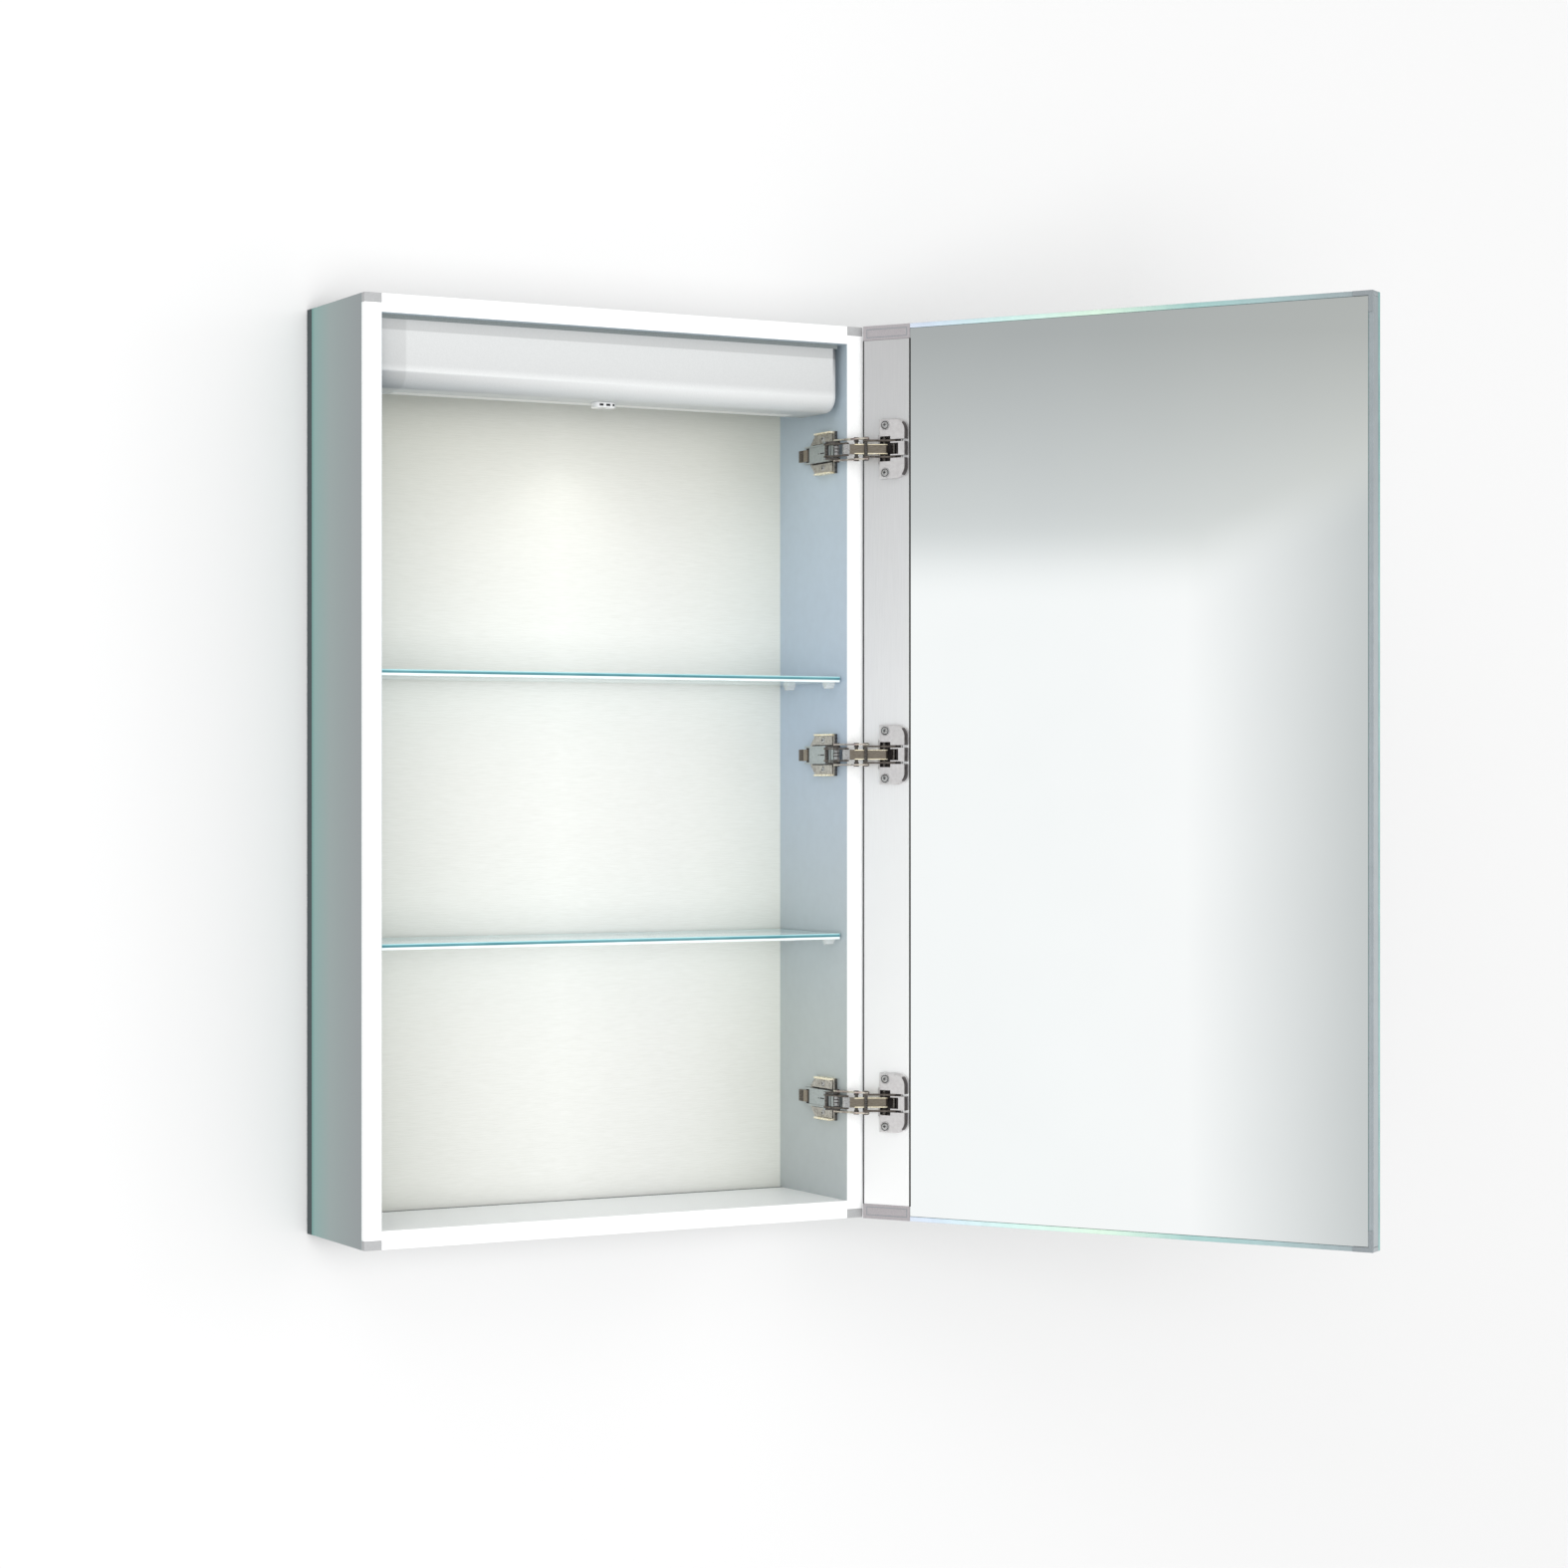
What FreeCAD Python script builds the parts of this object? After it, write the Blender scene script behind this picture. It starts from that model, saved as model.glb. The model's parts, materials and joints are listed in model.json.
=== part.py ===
import FreeCAD, Part
import math
import os
import re

import Sketcher

# A surface-mounted medicine cabinet: an aluminium box with mirrored sides, two glass
# shelves, a light housing with a motion sensor, and a mirrored door on three wide-angle
# hinges. Origin: centre of the back face. +X right, +Y into the wall, +Z up. Millimetres.
# The door and its links are drawn closed and then placed open, which is their rest pose.

os.makedirs("parts", exist_ok=True)
V = FreeCAD.Vector
doc = FreeCAD.newDocument("MedicineCabinet")

SIZES = {
    # cabinet box
    "width": 457.0, "height": 762.0, "depth": 125.0, "stile": 15.0, "cap_tall": 7.5,
    "skin": 1.5, "glass": 4.0, "front_lip": 6.0, "rear_deep": 10.0, "rear_plate": 4.5,
    "liner": 1.5,
    # fixing to the wall and cable inlet, both behind the light housing
    "screw_wide": 170.0, "screw_high": 338.0, "screw_rad": 3.0,
    "inlet_wide": 140.0, "inlet_rad": 8.0, "inlet_bore": 5.0, "inlet_flange": 11.0,
    # light housing across the top
    "house_back": 8.0, "house_deep": 55.0, "house_tall": 58.0, "house_gap": 5.0,
    "house_skin": 2.0, "house_round": 14.0, "house_top": 3.8,
    "strip_half": 185.0, "strip_deep": 14.0, "strip_back": 4.0, "board_thick": 1.6,
    "driver_long": 120.0, "driver_deep": 26.0, "driver_tall": 22.0, "driver_left": -160.0,
    "block_left": 120.0, "block_long": 30.0, "block_deep": 18.0, "block_tall": 16.0,
    "bracket_half": 160.0, "bracket_grip": 2.2, "bracket_in": 20.0,
    "sensor_half": 9.5, "sensor_rad": 5.0, "sensor_drop": 4.5, "sensor_back": 37.0,
    "sensor_rim": 2.0, "window_rad": 3.4, "lens_long": 9.5,
    # shelves and their supports
    "shelf_thick": 5.0, "shelf_side": 1.5, "shelf_front": 10.0, "shelf_rear": 8.0,
    "upper_top": 82.0, "lower_top": -138.0, "support": 8.0, "support_thick": 2.0,
    "peg_rad": 2.5, "peg_long": 9.5, "peg_front": 25.0, "peg_rear": 30.0,
    # door
    "door_gap": 2.0, "door_thick": 16.0, "front_glass": 4.0, "inner_glass": 3.0,
    "trim": 4.0, "rail_wide": 45.0, "rail_cap": 12.5, "clip_arm": 17.0, "clip_proud": 0.8,
    "fit": 0.2,
    # hinges: heights, cup, arm and the layers of the links across their height
    "hinge_top": 275.0, "hinge_middle": 15.0, "hinge_bottom": -281.0,
    "cup_near": 18.0, "cup_far": 43.2, "cup_half": 25.4, "cup_proud": 5.0,
    "bowl_near": 15.2, "bowl_far": 37.8, "bowl_half": 12.0, "bowl_deep": 9.5,
    "bowl_wall": 1.3, "mouth_far": 29.0, "notch_half": 4.8, "slit_low": 5.9,
    "slit_high": 8.0, "cup_corner": 10.0, "cup_screw_high": 20.2, "cup_screw_in": 24.0,
    "plate_front": 17.0, "plate_rear": 59.0, "plate_half": 18.0, "plate_thick": 3.0,
    "plate_corner": 9.0, "flange_thick": 1.2, "flange_tall": 3.0,
    "boss_half": 6.0, "boss_tall": 1.5, "boss_front": 20.0, "boss_rear": 38.0,
    "plate_screw_in": 36.0, "plate_screw_high": 12.8,
    "arm_rear": 63.0, "arm_front": 9.0, "arm_top": 6.0, "arm_edge": 0.8,
    "arm_rise": 13.0, "rise_rear": 17.0, "web_front": 14.0, "web_rear": 57.5,
    "groove_long": 9.0, "groove_deep": 0.5, "groove_wide": 1.0,
    "lever_half": 5.0, "lever_rad": 1.8, "lever_long": 11.5, "lever_in": 61.0,
    "lever_off": 5.0, "lever_rise": 0.2, "lever_pin": 1.0,
    "pin_rad": 1.5, "pin_clear": 0.05, "pin_head": 0.4, "bar_half": 4.2, "bar_rad": 2.5,
    "short_low": 4.5, "short_thick": 1.2, "short_rad": 2.5, "cheek_low": 6.2,
    "cheek_thick": 1.5, "cheek_rad": 3.0, "cup_link_rad": 2.3, "side_low": 8.0,
    "side_thick": 1.4, "side_rad": 3.0,
    # fasteners
    "small_rad": 1.9, "small_head": 3.6, "small_head_tall": 1.6, "screw_bite": 3.5,
    "past": 1.0,
}
HINGES = {"top": "hinge_top", "middle": "hinge_middle", "bottom": "hinge_bottom"}
SWING = 122.0               # degrees from closed to fully open
POLE = (14.5, 4.8)          # axis the door turns about: right of the wall, ahead of the front
ARM_PIN = (-7.0, -6.0)      # main arm pin, from the same corner
CUP_PIN = (21.5, -1.0)      # first cup pin: from the door's hinge edge, into the door
PIN_OFFSET = 9.0            # distance between the two pins of each pair


def add_box_sizes(sizes):
    """Half sizes of the box and of its inside, worked out once."""
    sizes["half_wide"] = sizes["width"] / 2
    sizes["half_tall"] = sizes["height"] / 2
    sizes["inner_wide"] = sizes["half_wide"] - sizes["stile"]
    sizes["inner_tall"] = sizes["half_tall"] - sizes["stile"]
    sizes["door_face"] = sizes["depth"] + sizes["door_gap"]
    sizes["door_front"] = sizes["door_face"] + sizes["door_thick"]
    sizes["glass_back"] = sizes["door_front"] - sizes["front_glass"]
    sizes["house_floor"] = sizes["inner_tall"] - sizes["house_tall"]


def step(start, angle, length):
    """The point a length away from start, in a direction given in degrees."""
    turn = math.radians(angle)
    return (start[0] + length * math.cos(turn), start[1] + length * math.sin(turn))


def linkage():
    """Pin places of one hinge with the door shut, as (right of the wall, ahead of the front).

    Two equal-sided loops: each short link runs parallel to its long one, so the inner
    link never turns and the door turns about POLE through the whole swing.
    """
    stile, gap = SIZES["stile"], SIZES["door_gap"]
    reach = (POLE[0] - ARM_PIN[0], POLE[1] - ARM_PIN[1])
    cup = (stile - CUP_PIN[0], gap + CUP_PIN[1])
    cross = (cup[0] - reach[0], cup[1] - reach[1])
    outer = math.degrees(math.atan2(cross[1] - ARM_PIN[1], cross[0] - ARM_PIN[0])) % 360
    inner = math.degrees(math.atan2(reach[1], reach[0]))
    back = outer - SWING / 2 + 90
    side = inner + SWING / 2 + 90
    return {
        "arm_main": ARM_PIN, "arm_short": step(ARM_PIN, back, PIN_OFFSET),
        "cross": cross, "bar_tail": step(cross, back, PIN_OFFSET),
        "side_tip": step(cross, side, PIN_OFFSET),
        "cup_main": cup, "cup_short": step(cup, side, PIN_OFFSET),
    }


def to_box(point):
    """From the hinge corner's frame to the cabinet's X and Y."""
    return (SIZES["inner_wide"] + point[0], -SIZES["depth"] - point[1])


add_box_sizes(SIZES)
PLACES = {name: to_box(point) for name, point in linkage().items()}
PLACES["lever"] = to_box((-SIZES["lever_off"], -SIZES["lever_in"]))
PLACES["lever_tip"] = to_box((-SIZES["lever_off"] - SIZES["lever_rise"],
                              -SIZES["lever_in"] - SIZES["lever_long"]))
for place, (x, y) in PLACES.items():
    SIZES[place + "_x"] = x
    SIZES[place + "_y"] = y

sheet = doc.addObject("Spreadsheet::Sheet", "Sizes")
for row, (alias, value) in enumerate(SIZES.items(), start=1):
    sheet.set(f"A{row}", alias)
    sheet.set(f"B{row}", f"{value:.6f}")
    sheet.setAlias(f"B{row}", alias)
doc.recompute()


# ---- helpers -----------------------------------------------------------------------
def cells(text):
    """Points the size words of an expression at the sheet."""
    return re.sub(r"[a-z_]{2,}", lambda word: "Sizes." + word.group(), str(text))


def minus(text):
    return f"-({text})"


def origin_plane(body, role):
    return next(item for item in body.Origin.OriginFeatures if item.Role == role)


def new_body(label):
    body = doc.addObject("PartDesign::Body", label)
    body.Label = label
    return body


def new_sketch(body, role, offset):
    """A sketch on one of the body's own planes, moved along the plane's normal."""
    sketch = body.newObject("Sketcher::SketchObject", body.Name + "_sketch")
    sketch.AttachmentSupport = [(origin_plane(body, role), "")]
    sketch.MapMode = "FlatFace"
    sketch.setExpression("AttachmentOffset.Base.z", cells(offset))
    return sketch


def bind(sketch, kind, geometry, end, text, start=1.0):
    """Ties a point's distance from the sketch's origin to the sheet."""
    index = sketch.addConstraint(Sketcher.Constraint(kind, -1, 1, geometry, end, start))
    sketch.setExpression(f"Constraints[{index}]", cells(text))


def outline(sketch, corners):
    """A closed run of straight lines, every corner tied to the sheet."""
    first = sketch.GeometryCount
    count = len(corners)
    rough = [V(*step((0, 0), 360.0 * i / count, 50.0), 0) for i in range(count)]
    for i in range(count):
        sketch.addGeometry(Part.LineSegment(rough[i], rough[(i + 1) % count]), False)
    for i in range(count):
        following = first + (i + 1) % count
        sketch.addConstraint(Sketcher.Constraint("Coincident", first + i, 2, following, 1))
    for i, (across, along) in enumerate(corners):
        bind(sketch, "DistanceX", first + i, 1, across)
        bind(sketch, "DistanceY", first + i, 1, along)


def rectangle(sketch, left, low, right, high):
    outline(sketch, [(left, low), (right, low), (right, high), (left, high)])


def circle(sketch, across, along, radius):
    index = sketch.addGeometry(Part.Circle(V(1, 1, 0), V(0, 0, 1), 1.0), False)
    bind(sketch, "DistanceX", index, 3, across)
    bind(sketch, "DistanceY", index, 3, along)
    constraint = sketch.addConstraint(Sketcher.Constraint("Radius", index, 1.0))
    sketch.setExpression(f"Constraints[{constraint}]", cells(radius))


def slot(sketch, start, end, radius):
    """A round-ended strip from one named pin place to another."""
    a, b = V(*PLACES[start], 0), V(*PLACES[end], 0)
    size = SIZES[radius]
    angle = math.atan2(b.y - a.y, b.x - a.x)
    side = V(-math.sin(angle), math.cos(angle), 0) * size
    up = V(0, 0, 1)
    quarter = math.pi / 2
    tail = Part.ArcOfCircle(Part.Circle(a, up, size), angle + quarter, angle + 3 * quarter)
    head = Part.ArcOfCircle(Part.Circle(b, up, size), angle - quarter, angle + quarter)
    lower = Part.LineSegment(a - side, b - side)
    upper = Part.LineSegment(b + side, a + side)
    first = sketch.GeometryCount
    sketch.addGeometry([tail, lower, head, upper], False)
    joins = ((0, 2, 1, 1), (1, 2, 2, 1), (2, 2, 3, 1), (3, 2, 0, 1))
    for one, one_end, two, two_end in joins:
        ends = (first + one, one_end, first + two, two_end)
        sketch.addConstraint(Sketcher.Constraint("Tangent", *ends))
    sketch.addConstraint(Sketcher.Constraint("Equal", first, first + 2))
    for geometry, name, centre in ((first, start, a), (first + 2, end, b)):
        bind(sketch, "DistanceX", geometry, 3, name + "_x", centre.x)
        bind(sketch, "DistanceY", geometry, 3, name + "_y", centre.y)
    constraint = sketch.addConstraint(Sketcher.Constraint("Radius", first, size))
    sketch.setExpression(f"Constraints[{constraint}]", cells(radius))


def pad(body, sketch, length, both_ways=False, reverse=False):
    feature = body.newObject("PartDesign::Pad", body.Name + "_pad")
    feature.Profile = sketch
    feature.setExpression("Length", cells(length))
    feature.SideType = "Symmetric" if both_ways else "One side"
    feature.Reversed = reverse
    body.Tip = feature
    return feature


def pocket(body, sketch, length=None, reverse=False):
    """Cuts the sketch out of the body, all the way both ways unless a length is given."""
    doc.recompute()
    before = body.Shape.Volume
    feature = body.newObject("PartDesign::Pocket", body.Name + "_pocket")
    feature.Profile = sketch
    if length is None:
        feature.SideType = "Symmetric"
        feature.Type = "ThroughAll"
    else:
        feature.setExpression("Length", cells(length))
        feature.Reversed = reverse
    body.Tip = feature
    doc.recompute()
    if not body.Shape.Volume < before - 1e-3:
        raise RuntimeError(f"a pocket of {body.Label} cuts nothing")
    return feature


def fillet(body, radius, wanted):
    """Rounds the edges of the body's tip that the test picks."""
    doc.recompute()
    base = body.Tip
    names = [f"Edge{i}" for i, edge in enumerate(base.Shape.Edges, start=1) if wanted(edge)]
    feature = body.newObject("PartDesign::Fillet", body.Name + "_fillet")
    feature.Base = (base, names)
    feature.setExpression("Radius", cells(radius))
    body.Tip = feature
    doc.recompute()


def near(value, target):
    return abs(value - target) < 1e-3


def plate(label, left, right, front, rear, low, high):
    """A flat rectangular piece between two values of X, of Y and of Z."""
    body = new_body(label)
    sketch = new_sketch(body, "XY_Plane", low)
    rectangle(sketch, left, front, right, rear)
    pad(body, sketch, f"({high}) - ({low})")
    return body


def group(label, members):
    """Several like solids that share one sub-part."""
    compound = doc.addObject("Part::Compound", label)
    compound.Label = label
    compound.Links = members
    return compound


def rod(name, across, along, up, radius, length, axis=V(0, 0, 1)):
    """A round bar or screw shank starting at a point and running along an axis."""
    cylinder = doc.addObject("Part::Cylinder", name)
    cylinder.setExpression("Radius", cells(radius))
    cylinder.setExpression("Height", cells(length))
    cylinder.Placement = FreeCAD.Placement(V(0, 0, 0), FreeCAD.Rotation(V(0, 0, 1), axis))
    for letter, text in zip("xyz", (across, along, up)):
        cylinder.setExpression(f"Placement.Base.{letter}", cells(text))
    return cylinder


def fuse(name, shapes):
    union = doc.addObject("Part::MultiFuse", name)
    union.Shapes = shapes
    return union


def screw(name, across, along, up, length, axis):
    """A pan-head screw: its head stands back from the point, its shank runs on along axis."""
    head = rod(name + "_head", across, along, up, "small_head", "small_head_tall", axis * -1)
    shank = rod(name + "_shank", across, along, up, "small_rad", length, axis)
    return fuse(name, [head, shank])


# ---- cabinet box -------------------------------------------------------------------
def make_rear():
    """Dark rear frame against the wall and the liner seen through the open door."""
    rear = new_body("rear_frame")
    sketch = new_sketch(rear, "XZ_Plane", 0)
    rectangle(sketch, minus("half_wide"), minus("half_tall"), "half_wide", "half_tall")
    pad(rear, sketch, "rear_plate")
    rim = new_sketch(rear, "XZ_Plane", "rear_plate")
    rectangle(rim, minus("half_wide"), minus("half_tall"), "half_wide", "half_tall")
    rectangle(rim, minus("inner_wide"), minus("inner_tall"), "inner_wide", "inner_tall")
    pad(rear, rim, "rear_deep - rear_plate")
    liner = new_body("back_panel")
    sketch = new_sketch(liner, "XZ_Plane", "rear_plate")
    rectangle(sketch, minus("inner_wide"), minus("inner_tall"), "inner_wide", "inner_tall")
    pad(liner, sketch, "liner")
    for body in (rear, liner):
        holes = new_sketch(body, "XZ_Plane", "rear_plate")
        circle(holes, "screw_wide", "screw_high", "screw_rad")
        circle(holes, minus("screw_wide"), "screw_high", "screw_rad")
        circle(holes, "inlet_wide", "screw_high", "inlet_rad")
        pocket(body, holes)
    grommet = new_body("cable_grommet")
    sleeve = new_sketch(grommet, "XZ_Plane", 0)
    circle(sleeve, "inlet_wide", "screw_high", "inlet_rad")
    circle(sleeve, "inlet_wide", "screw_high", "inlet_bore")
    pad(grommet, sleeve, "rear_plate + liner")
    flange = new_sketch(grommet, "XZ_Plane", "rear_plate + liner")
    circle(flange, "inlet_wide", "screw_high", "inlet_flange")
    circle(flange, "inlet_wide", "screw_high", "inlet_bore")
    pad(grommet, flange, "liner")
    return [rear, liner, grommet]


def stile_outline(at):
    """Plan of a side: the stile's full width in front, a seat for the glass behind it."""
    return [
        (at("inner_wide"), "-depth"), (at("half_wide"), "-depth"),
        (at("half_wide"), "-depth + front_lip"), (at("half_wide - glass"), "-depth + front_lip"),
        (at("half_wide - glass"), "-rear_deep"), (at("inner_wide"), "-rear_deep"),
    ]


def make_side(side, sign):
    """Hollow side profile, the plastic caps on its ends and the mirror glass beside them."""
    def at(text):
        return text if sign > 0 else minus(text)

    profile = new_body(f"{side}_side_panel")
    sketch = new_sketch(profile, "XY_Plane", minus("half_tall - cap_tall"))
    outline(sketch, stile_outline(at))
    outline(sketch, [
        (at("inner_wide + skin"), "-depth + front_lip"),
        (at("half_wide - glass - skin"), "-depth + front_lip"),
        (at("half_wide - glass - skin"), "-rear_deep - skin"),
        (at("inner_wide + skin"), "-rear_deep - skin"),
    ])
    pad(profile, sketch, "height - 2 * cap_tall")
    faces = sorted((at("half_wide - glass"), at("half_wide")), reverse=sign > 0)
    mirror = plate(f"{side}_side_mirror", faces[0], faces[1], "-depth + front_lip",
                   "-rear_deep", "-half_tall", "half_tall")
    caps = []
    for end, low in (("top", "half_tall - cap_tall"), ("bottom", "-half_tall")):
        cap = new_body(f"corner_cap_{end}_{side}")
        sketch = new_sketch(cap, "XY_Plane", low)
        outline(sketch, stile_outline(at))
        pad(cap, sketch, "cap_tall")
        caps.append(cap)
    return [profile, mirror] + caps


def make_rails():
    """Hollow top and bottom profiles between the stiles."""
    made = []
    for label, near_in, far_out in (("top_panel", "inner_tall", "half_tall"),
                                    ("bottom_panel", "-inner_tall", "-half_tall")):
        body = new_body(label)
        sketch = new_sketch(body, "YZ_Plane", 0)
        rectangle(sketch, "-depth", near_in, "-rear_deep", far_out)
        wall = "+ skin" if far_out[0] != "-" else "- skin"
        back = "- skin" if far_out[0] != "-" else "+ skin"
        rectangle(sketch, "-depth + front_lip", f"{near_in} {wall}",
                  "-rear_deep - skin", f"{far_out} {back}")
        pad(body, sketch, "2 * inner_wide", both_ways=True)
        made.append(body)
    return made


# ---- light housing -----------------------------------------------------------------
def make_light():
    """Housing shell, what it holds, and the motion sensor in its underside."""
    front, rear = "-depth + house_back", "-depth + house_back + house_deep"
    right = "inner_wide - house_gap"
    shell = new_body("light_housing")
    sketch = new_sketch(shell, "YZ_Plane", "-inner_wide")
    rectangle(sketch, front, "house_floor", rear, "inner_tall - house_top")
    pad(shell, sketch, "2 * inner_wide - house_gap")
    hollow = new_sketch(shell, "XY_Plane", "inner_tall - house_top")
    rectangle(hollow, "-inner_wide + house_skin", f"{front} + house_skin",
              f"{right} - house_skin", f"{rear} - house_skin")
    pocket(shell, hollow, "house_tall - house_top - house_skin")
    front_y = -SIZES["depth"] + SIZES["house_back"]
    floor_z, skin = SIZES["house_floor"], SIZES["house_skin"]

    def lower_front(inset):
        """Picks the lower front edge of the shell, or of its inside when inset."""
        def wanted(edge):
            box = edge.BoundBox
            return (near(box.YMin, front_y + inset) and near(box.YMax, front_y + inset)
                    and near(box.ZMax, floor_z + inset))
        return wanted

    def lower_right(edge):
        box = edge.BoundBox
        return (near(box.XMin, SIZES["inner_wide"] - SIZES["house_gap"])
                and box.ZMax < floor_z + SIZES["house_round"] + SIZES["skin"])

    fillet(shell, "house_round - house_skin", lower_front(skin))
    fillet(shell, "house_round", lower_front(0))
    fillet(shell, "house_gap", lower_right)
    strip_front, strip_rear = f"{rear} - strip_back - strip_deep", f"{rear} - strip_back"
    window = new_sketch(shell, "XY_Plane", "house_floor + house_skin")
    rectangle(window, "-strip_half", strip_front, "strip_half", strip_rear)
    circle(window, 0, "-depth + sensor_back", "sensor_rad")
    pocket(shell, window, "house_skin + past")

    diffuser = plate("light_diffuser", "-strip_half + fit", "strip_half - fit",
                     f"{strip_front} + fit", f"{strip_rear} - fit",
                     "house_floor - fit", "house_floor + house_skin")
    board = plate("led_board", "-strip_half", "strip_half", strip_front, strip_rear,
                  "house_floor + house_skin", "house_floor + house_skin + board_thick")
    driver = plate("led_driver", "driver_left", "driver_left + driver_long",
                   f"{front} + house_skin", f"{front} + house_skin + driver_deep",
                   "house_floor + house_round", "house_floor + house_round + driver_tall")
    block = plate("terminal_block", "block_left", "block_left + block_long",
                  f"{front} + house_skin", f"{front} + house_skin + block_deep",
                  "house_floor + house_round", "house_floor + house_round + block_tall")
    bracket_low = "inner_tall - house_top - bracket_grip"
    bracket = plate("housing_bracket", "-bracket_half", "bracket_half",
                    f"{front} + house_skin", f"{rear} - house_skin",
                    bracket_low, "inner_tall")
    screws = [screw(f"housing_screw_{i}", across, f"{front} + house_deep / 2",
                    bracket_low, "house_top + bracket_grip + screw_bite", V(0, 0, 1))
              for i, across in enumerate(("-bracket_half + bracket_in",
                                          "bracket_half - bracket_in"))]
    bezel = new_body("sensor_bezel")
    sketch = new_sketch(bezel, "XY_Plane", "house_floor - sensor_drop")
    rectangle(sketch, "-sensor_half", "-depth + sensor_back - sensor_rad - sensor_rim",
              "sensor_half", "-depth + sensor_back + sensor_rad + sensor_rim")
    circle(sketch, 0, "-depth + sensor_back", "window_rad")
    pad(bezel, sketch, "sensor_drop")
    fillet(bezel, "sensor_drop", lambda edge: near(edge.BoundBox.ZLength, SIZES["sensor_drop"])
           and edge.Curve.TypeId == "Part::GeomLine")
    window = rod("sensor_window", 0, "-depth + sensor_back", "house_floor - sensor_drop",
                 "window_rad - pin_clear", "lens_long")
    return [shell, diffuser, board, driver, block, bracket,
            group("housing_screws", screws), bezel, window]


# ---- shelves -----------------------------------------------------------------------
def make_shelves():
    made = []
    for name, top in (("upper", "upper_top"), ("lower", "lower_top")):
        made.append(plate(f"{name}_shelf", "-inner_wide + shelf_side",
                          "inner_wide - shelf_side", "-depth + shelf_front", "-shelf_rear",
                          f"{top} - shelf_thick", top))
        supports = []
        for side, left in (("left", "-inner_wide"), ("right", "inner_wide - support")):
            for row, along in enumerate(("-depth + peg_front", "-peg_rear")):
                seat = doc.addObject("Part::Box", f"{name}_seat_{side}_{row}")
                for prop, text in (("Length", "support"), ("Width", "support"),
                                   ("Height", "support_thick"), ("Placement.Base.x", left),
                                   ("Placement.Base.y", f"{along} - support / 2"),
                                   ("Placement.Base.z", f"{top} - shelf_thick - support_thick")):
                    seat.setExpression(prop, cells(text))
                outward = 1 if side == "right" else -1
                start = "inner_wide - support" if side == "right" else "-inner_wide + support"
                peg = rod(f"{name}_peg_{side}_{row}", start, along,
                          f"{top} - shelf_thick - peg_rad", "peg_rad", "peg_long",
                          V(outward, 0, 0))
                supports.append(fuse(f"{name}_support_{side}_{row}", [seat, peg]))
        made.append(group(f"{name}_shelf_supports", supports))
    return made


# ---- door --------------------------------------------------------------------------
def make_door():
    """Two mirrors back to back in a light frame, with the hinge rail down one side."""
    rail_left = "half_wide - rail_wide"
    made = [
        plate("door_front_mirror", "-half_wide", "half_wide", "-door_front", "-glass_back",
              "-half_tall", "half_tall"),
        plate("door_core", "-half_wide + trim + fit", f"{rail_left} - fit",
              "-glass_back", "-door_face - inner_glass",
              "-half_tall + trim + fit", "half_tall - trim - fit"),
        plate("door_inner_mirror", "-half_wide + trim + fit", f"{rail_left} - fit",
              "-door_face - inner_glass", "-door_face",
              "-half_tall + trim + fit", "half_tall - trim - fit"),
        plate("door_top_trim", "-half_wide", rail_left, "-glass_back", "-door_face",
              "half_tall - trim", "half_tall"),
        plate("door_bottom_trim", "-half_wide", rail_left, "-glass_back", "-door_face",
              "-half_tall", "-half_tall + trim"),
        plate("door_edge_trim", "-half_wide", "-half_wide + trim", "-glass_back", "-door_face",
              "-half_tall + trim", "half_tall - trim"),
        plate("rail_cap_top", rail_left, "half_wide", "-glass_back", "-door_face",
              "half_tall - rail_cap", "half_tall"),
        plate("rail_cap_bottom", rail_left, "half_wide", "-glass_back", "-door_face",
              "-half_tall", "-half_tall + rail_cap"),
    ]
    rail = new_body("hinge_rail")
    sketch = new_sketch(rail, "XY_Plane", "-half_tall + rail_cap")
    rectangle(sketch, rail_left, "-glass_back", "half_wide", "-door_face")
    rectangle(sketch, f"{rail_left} + skin", "-glass_back + skin", "half_wide - skin",
              "-door_face - skin")
    pad(rail, sketch, "height - 2 * rail_cap")
    seats = new_sketch(rail, "XZ_Plane", "door_face + skin + past")
    for height in HINGES.values():
        rectangle(seats, "half_wide - bowl_far - fit", f"{height} - bowl_half - fit",
                  "half_wide - bowl_near + fit", f"{height} + bowl_half + fit")
    pocket(rail, seats, "skin + 2 * past")
    clips = []
    for name, sign in (("top", ""), ("bottom", "-")):
        clip = new_body(f"clip_{name}")
        sketch = new_sketch(clip, "XZ_Plane", "door_face - clip_proud")
        high, low = f"{sign}(half_tall)", f"{sign}(half_tall - trim)"
        end = f"{sign}(half_tall - clip_arm)"
        outline(sketch, [("-half_wide", high), ("-half_wide + clip_arm", high),
                         ("-half_wide + clip_arm", low), ("-half_wide + trim", low),
                         ("-half_wide + trim", end), ("-half_wide", end)])
        pad(clip, sketch, "clip_proud")
        clips.append(clip)
    return made + [rail, group("corner_clips", clips)]


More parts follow.
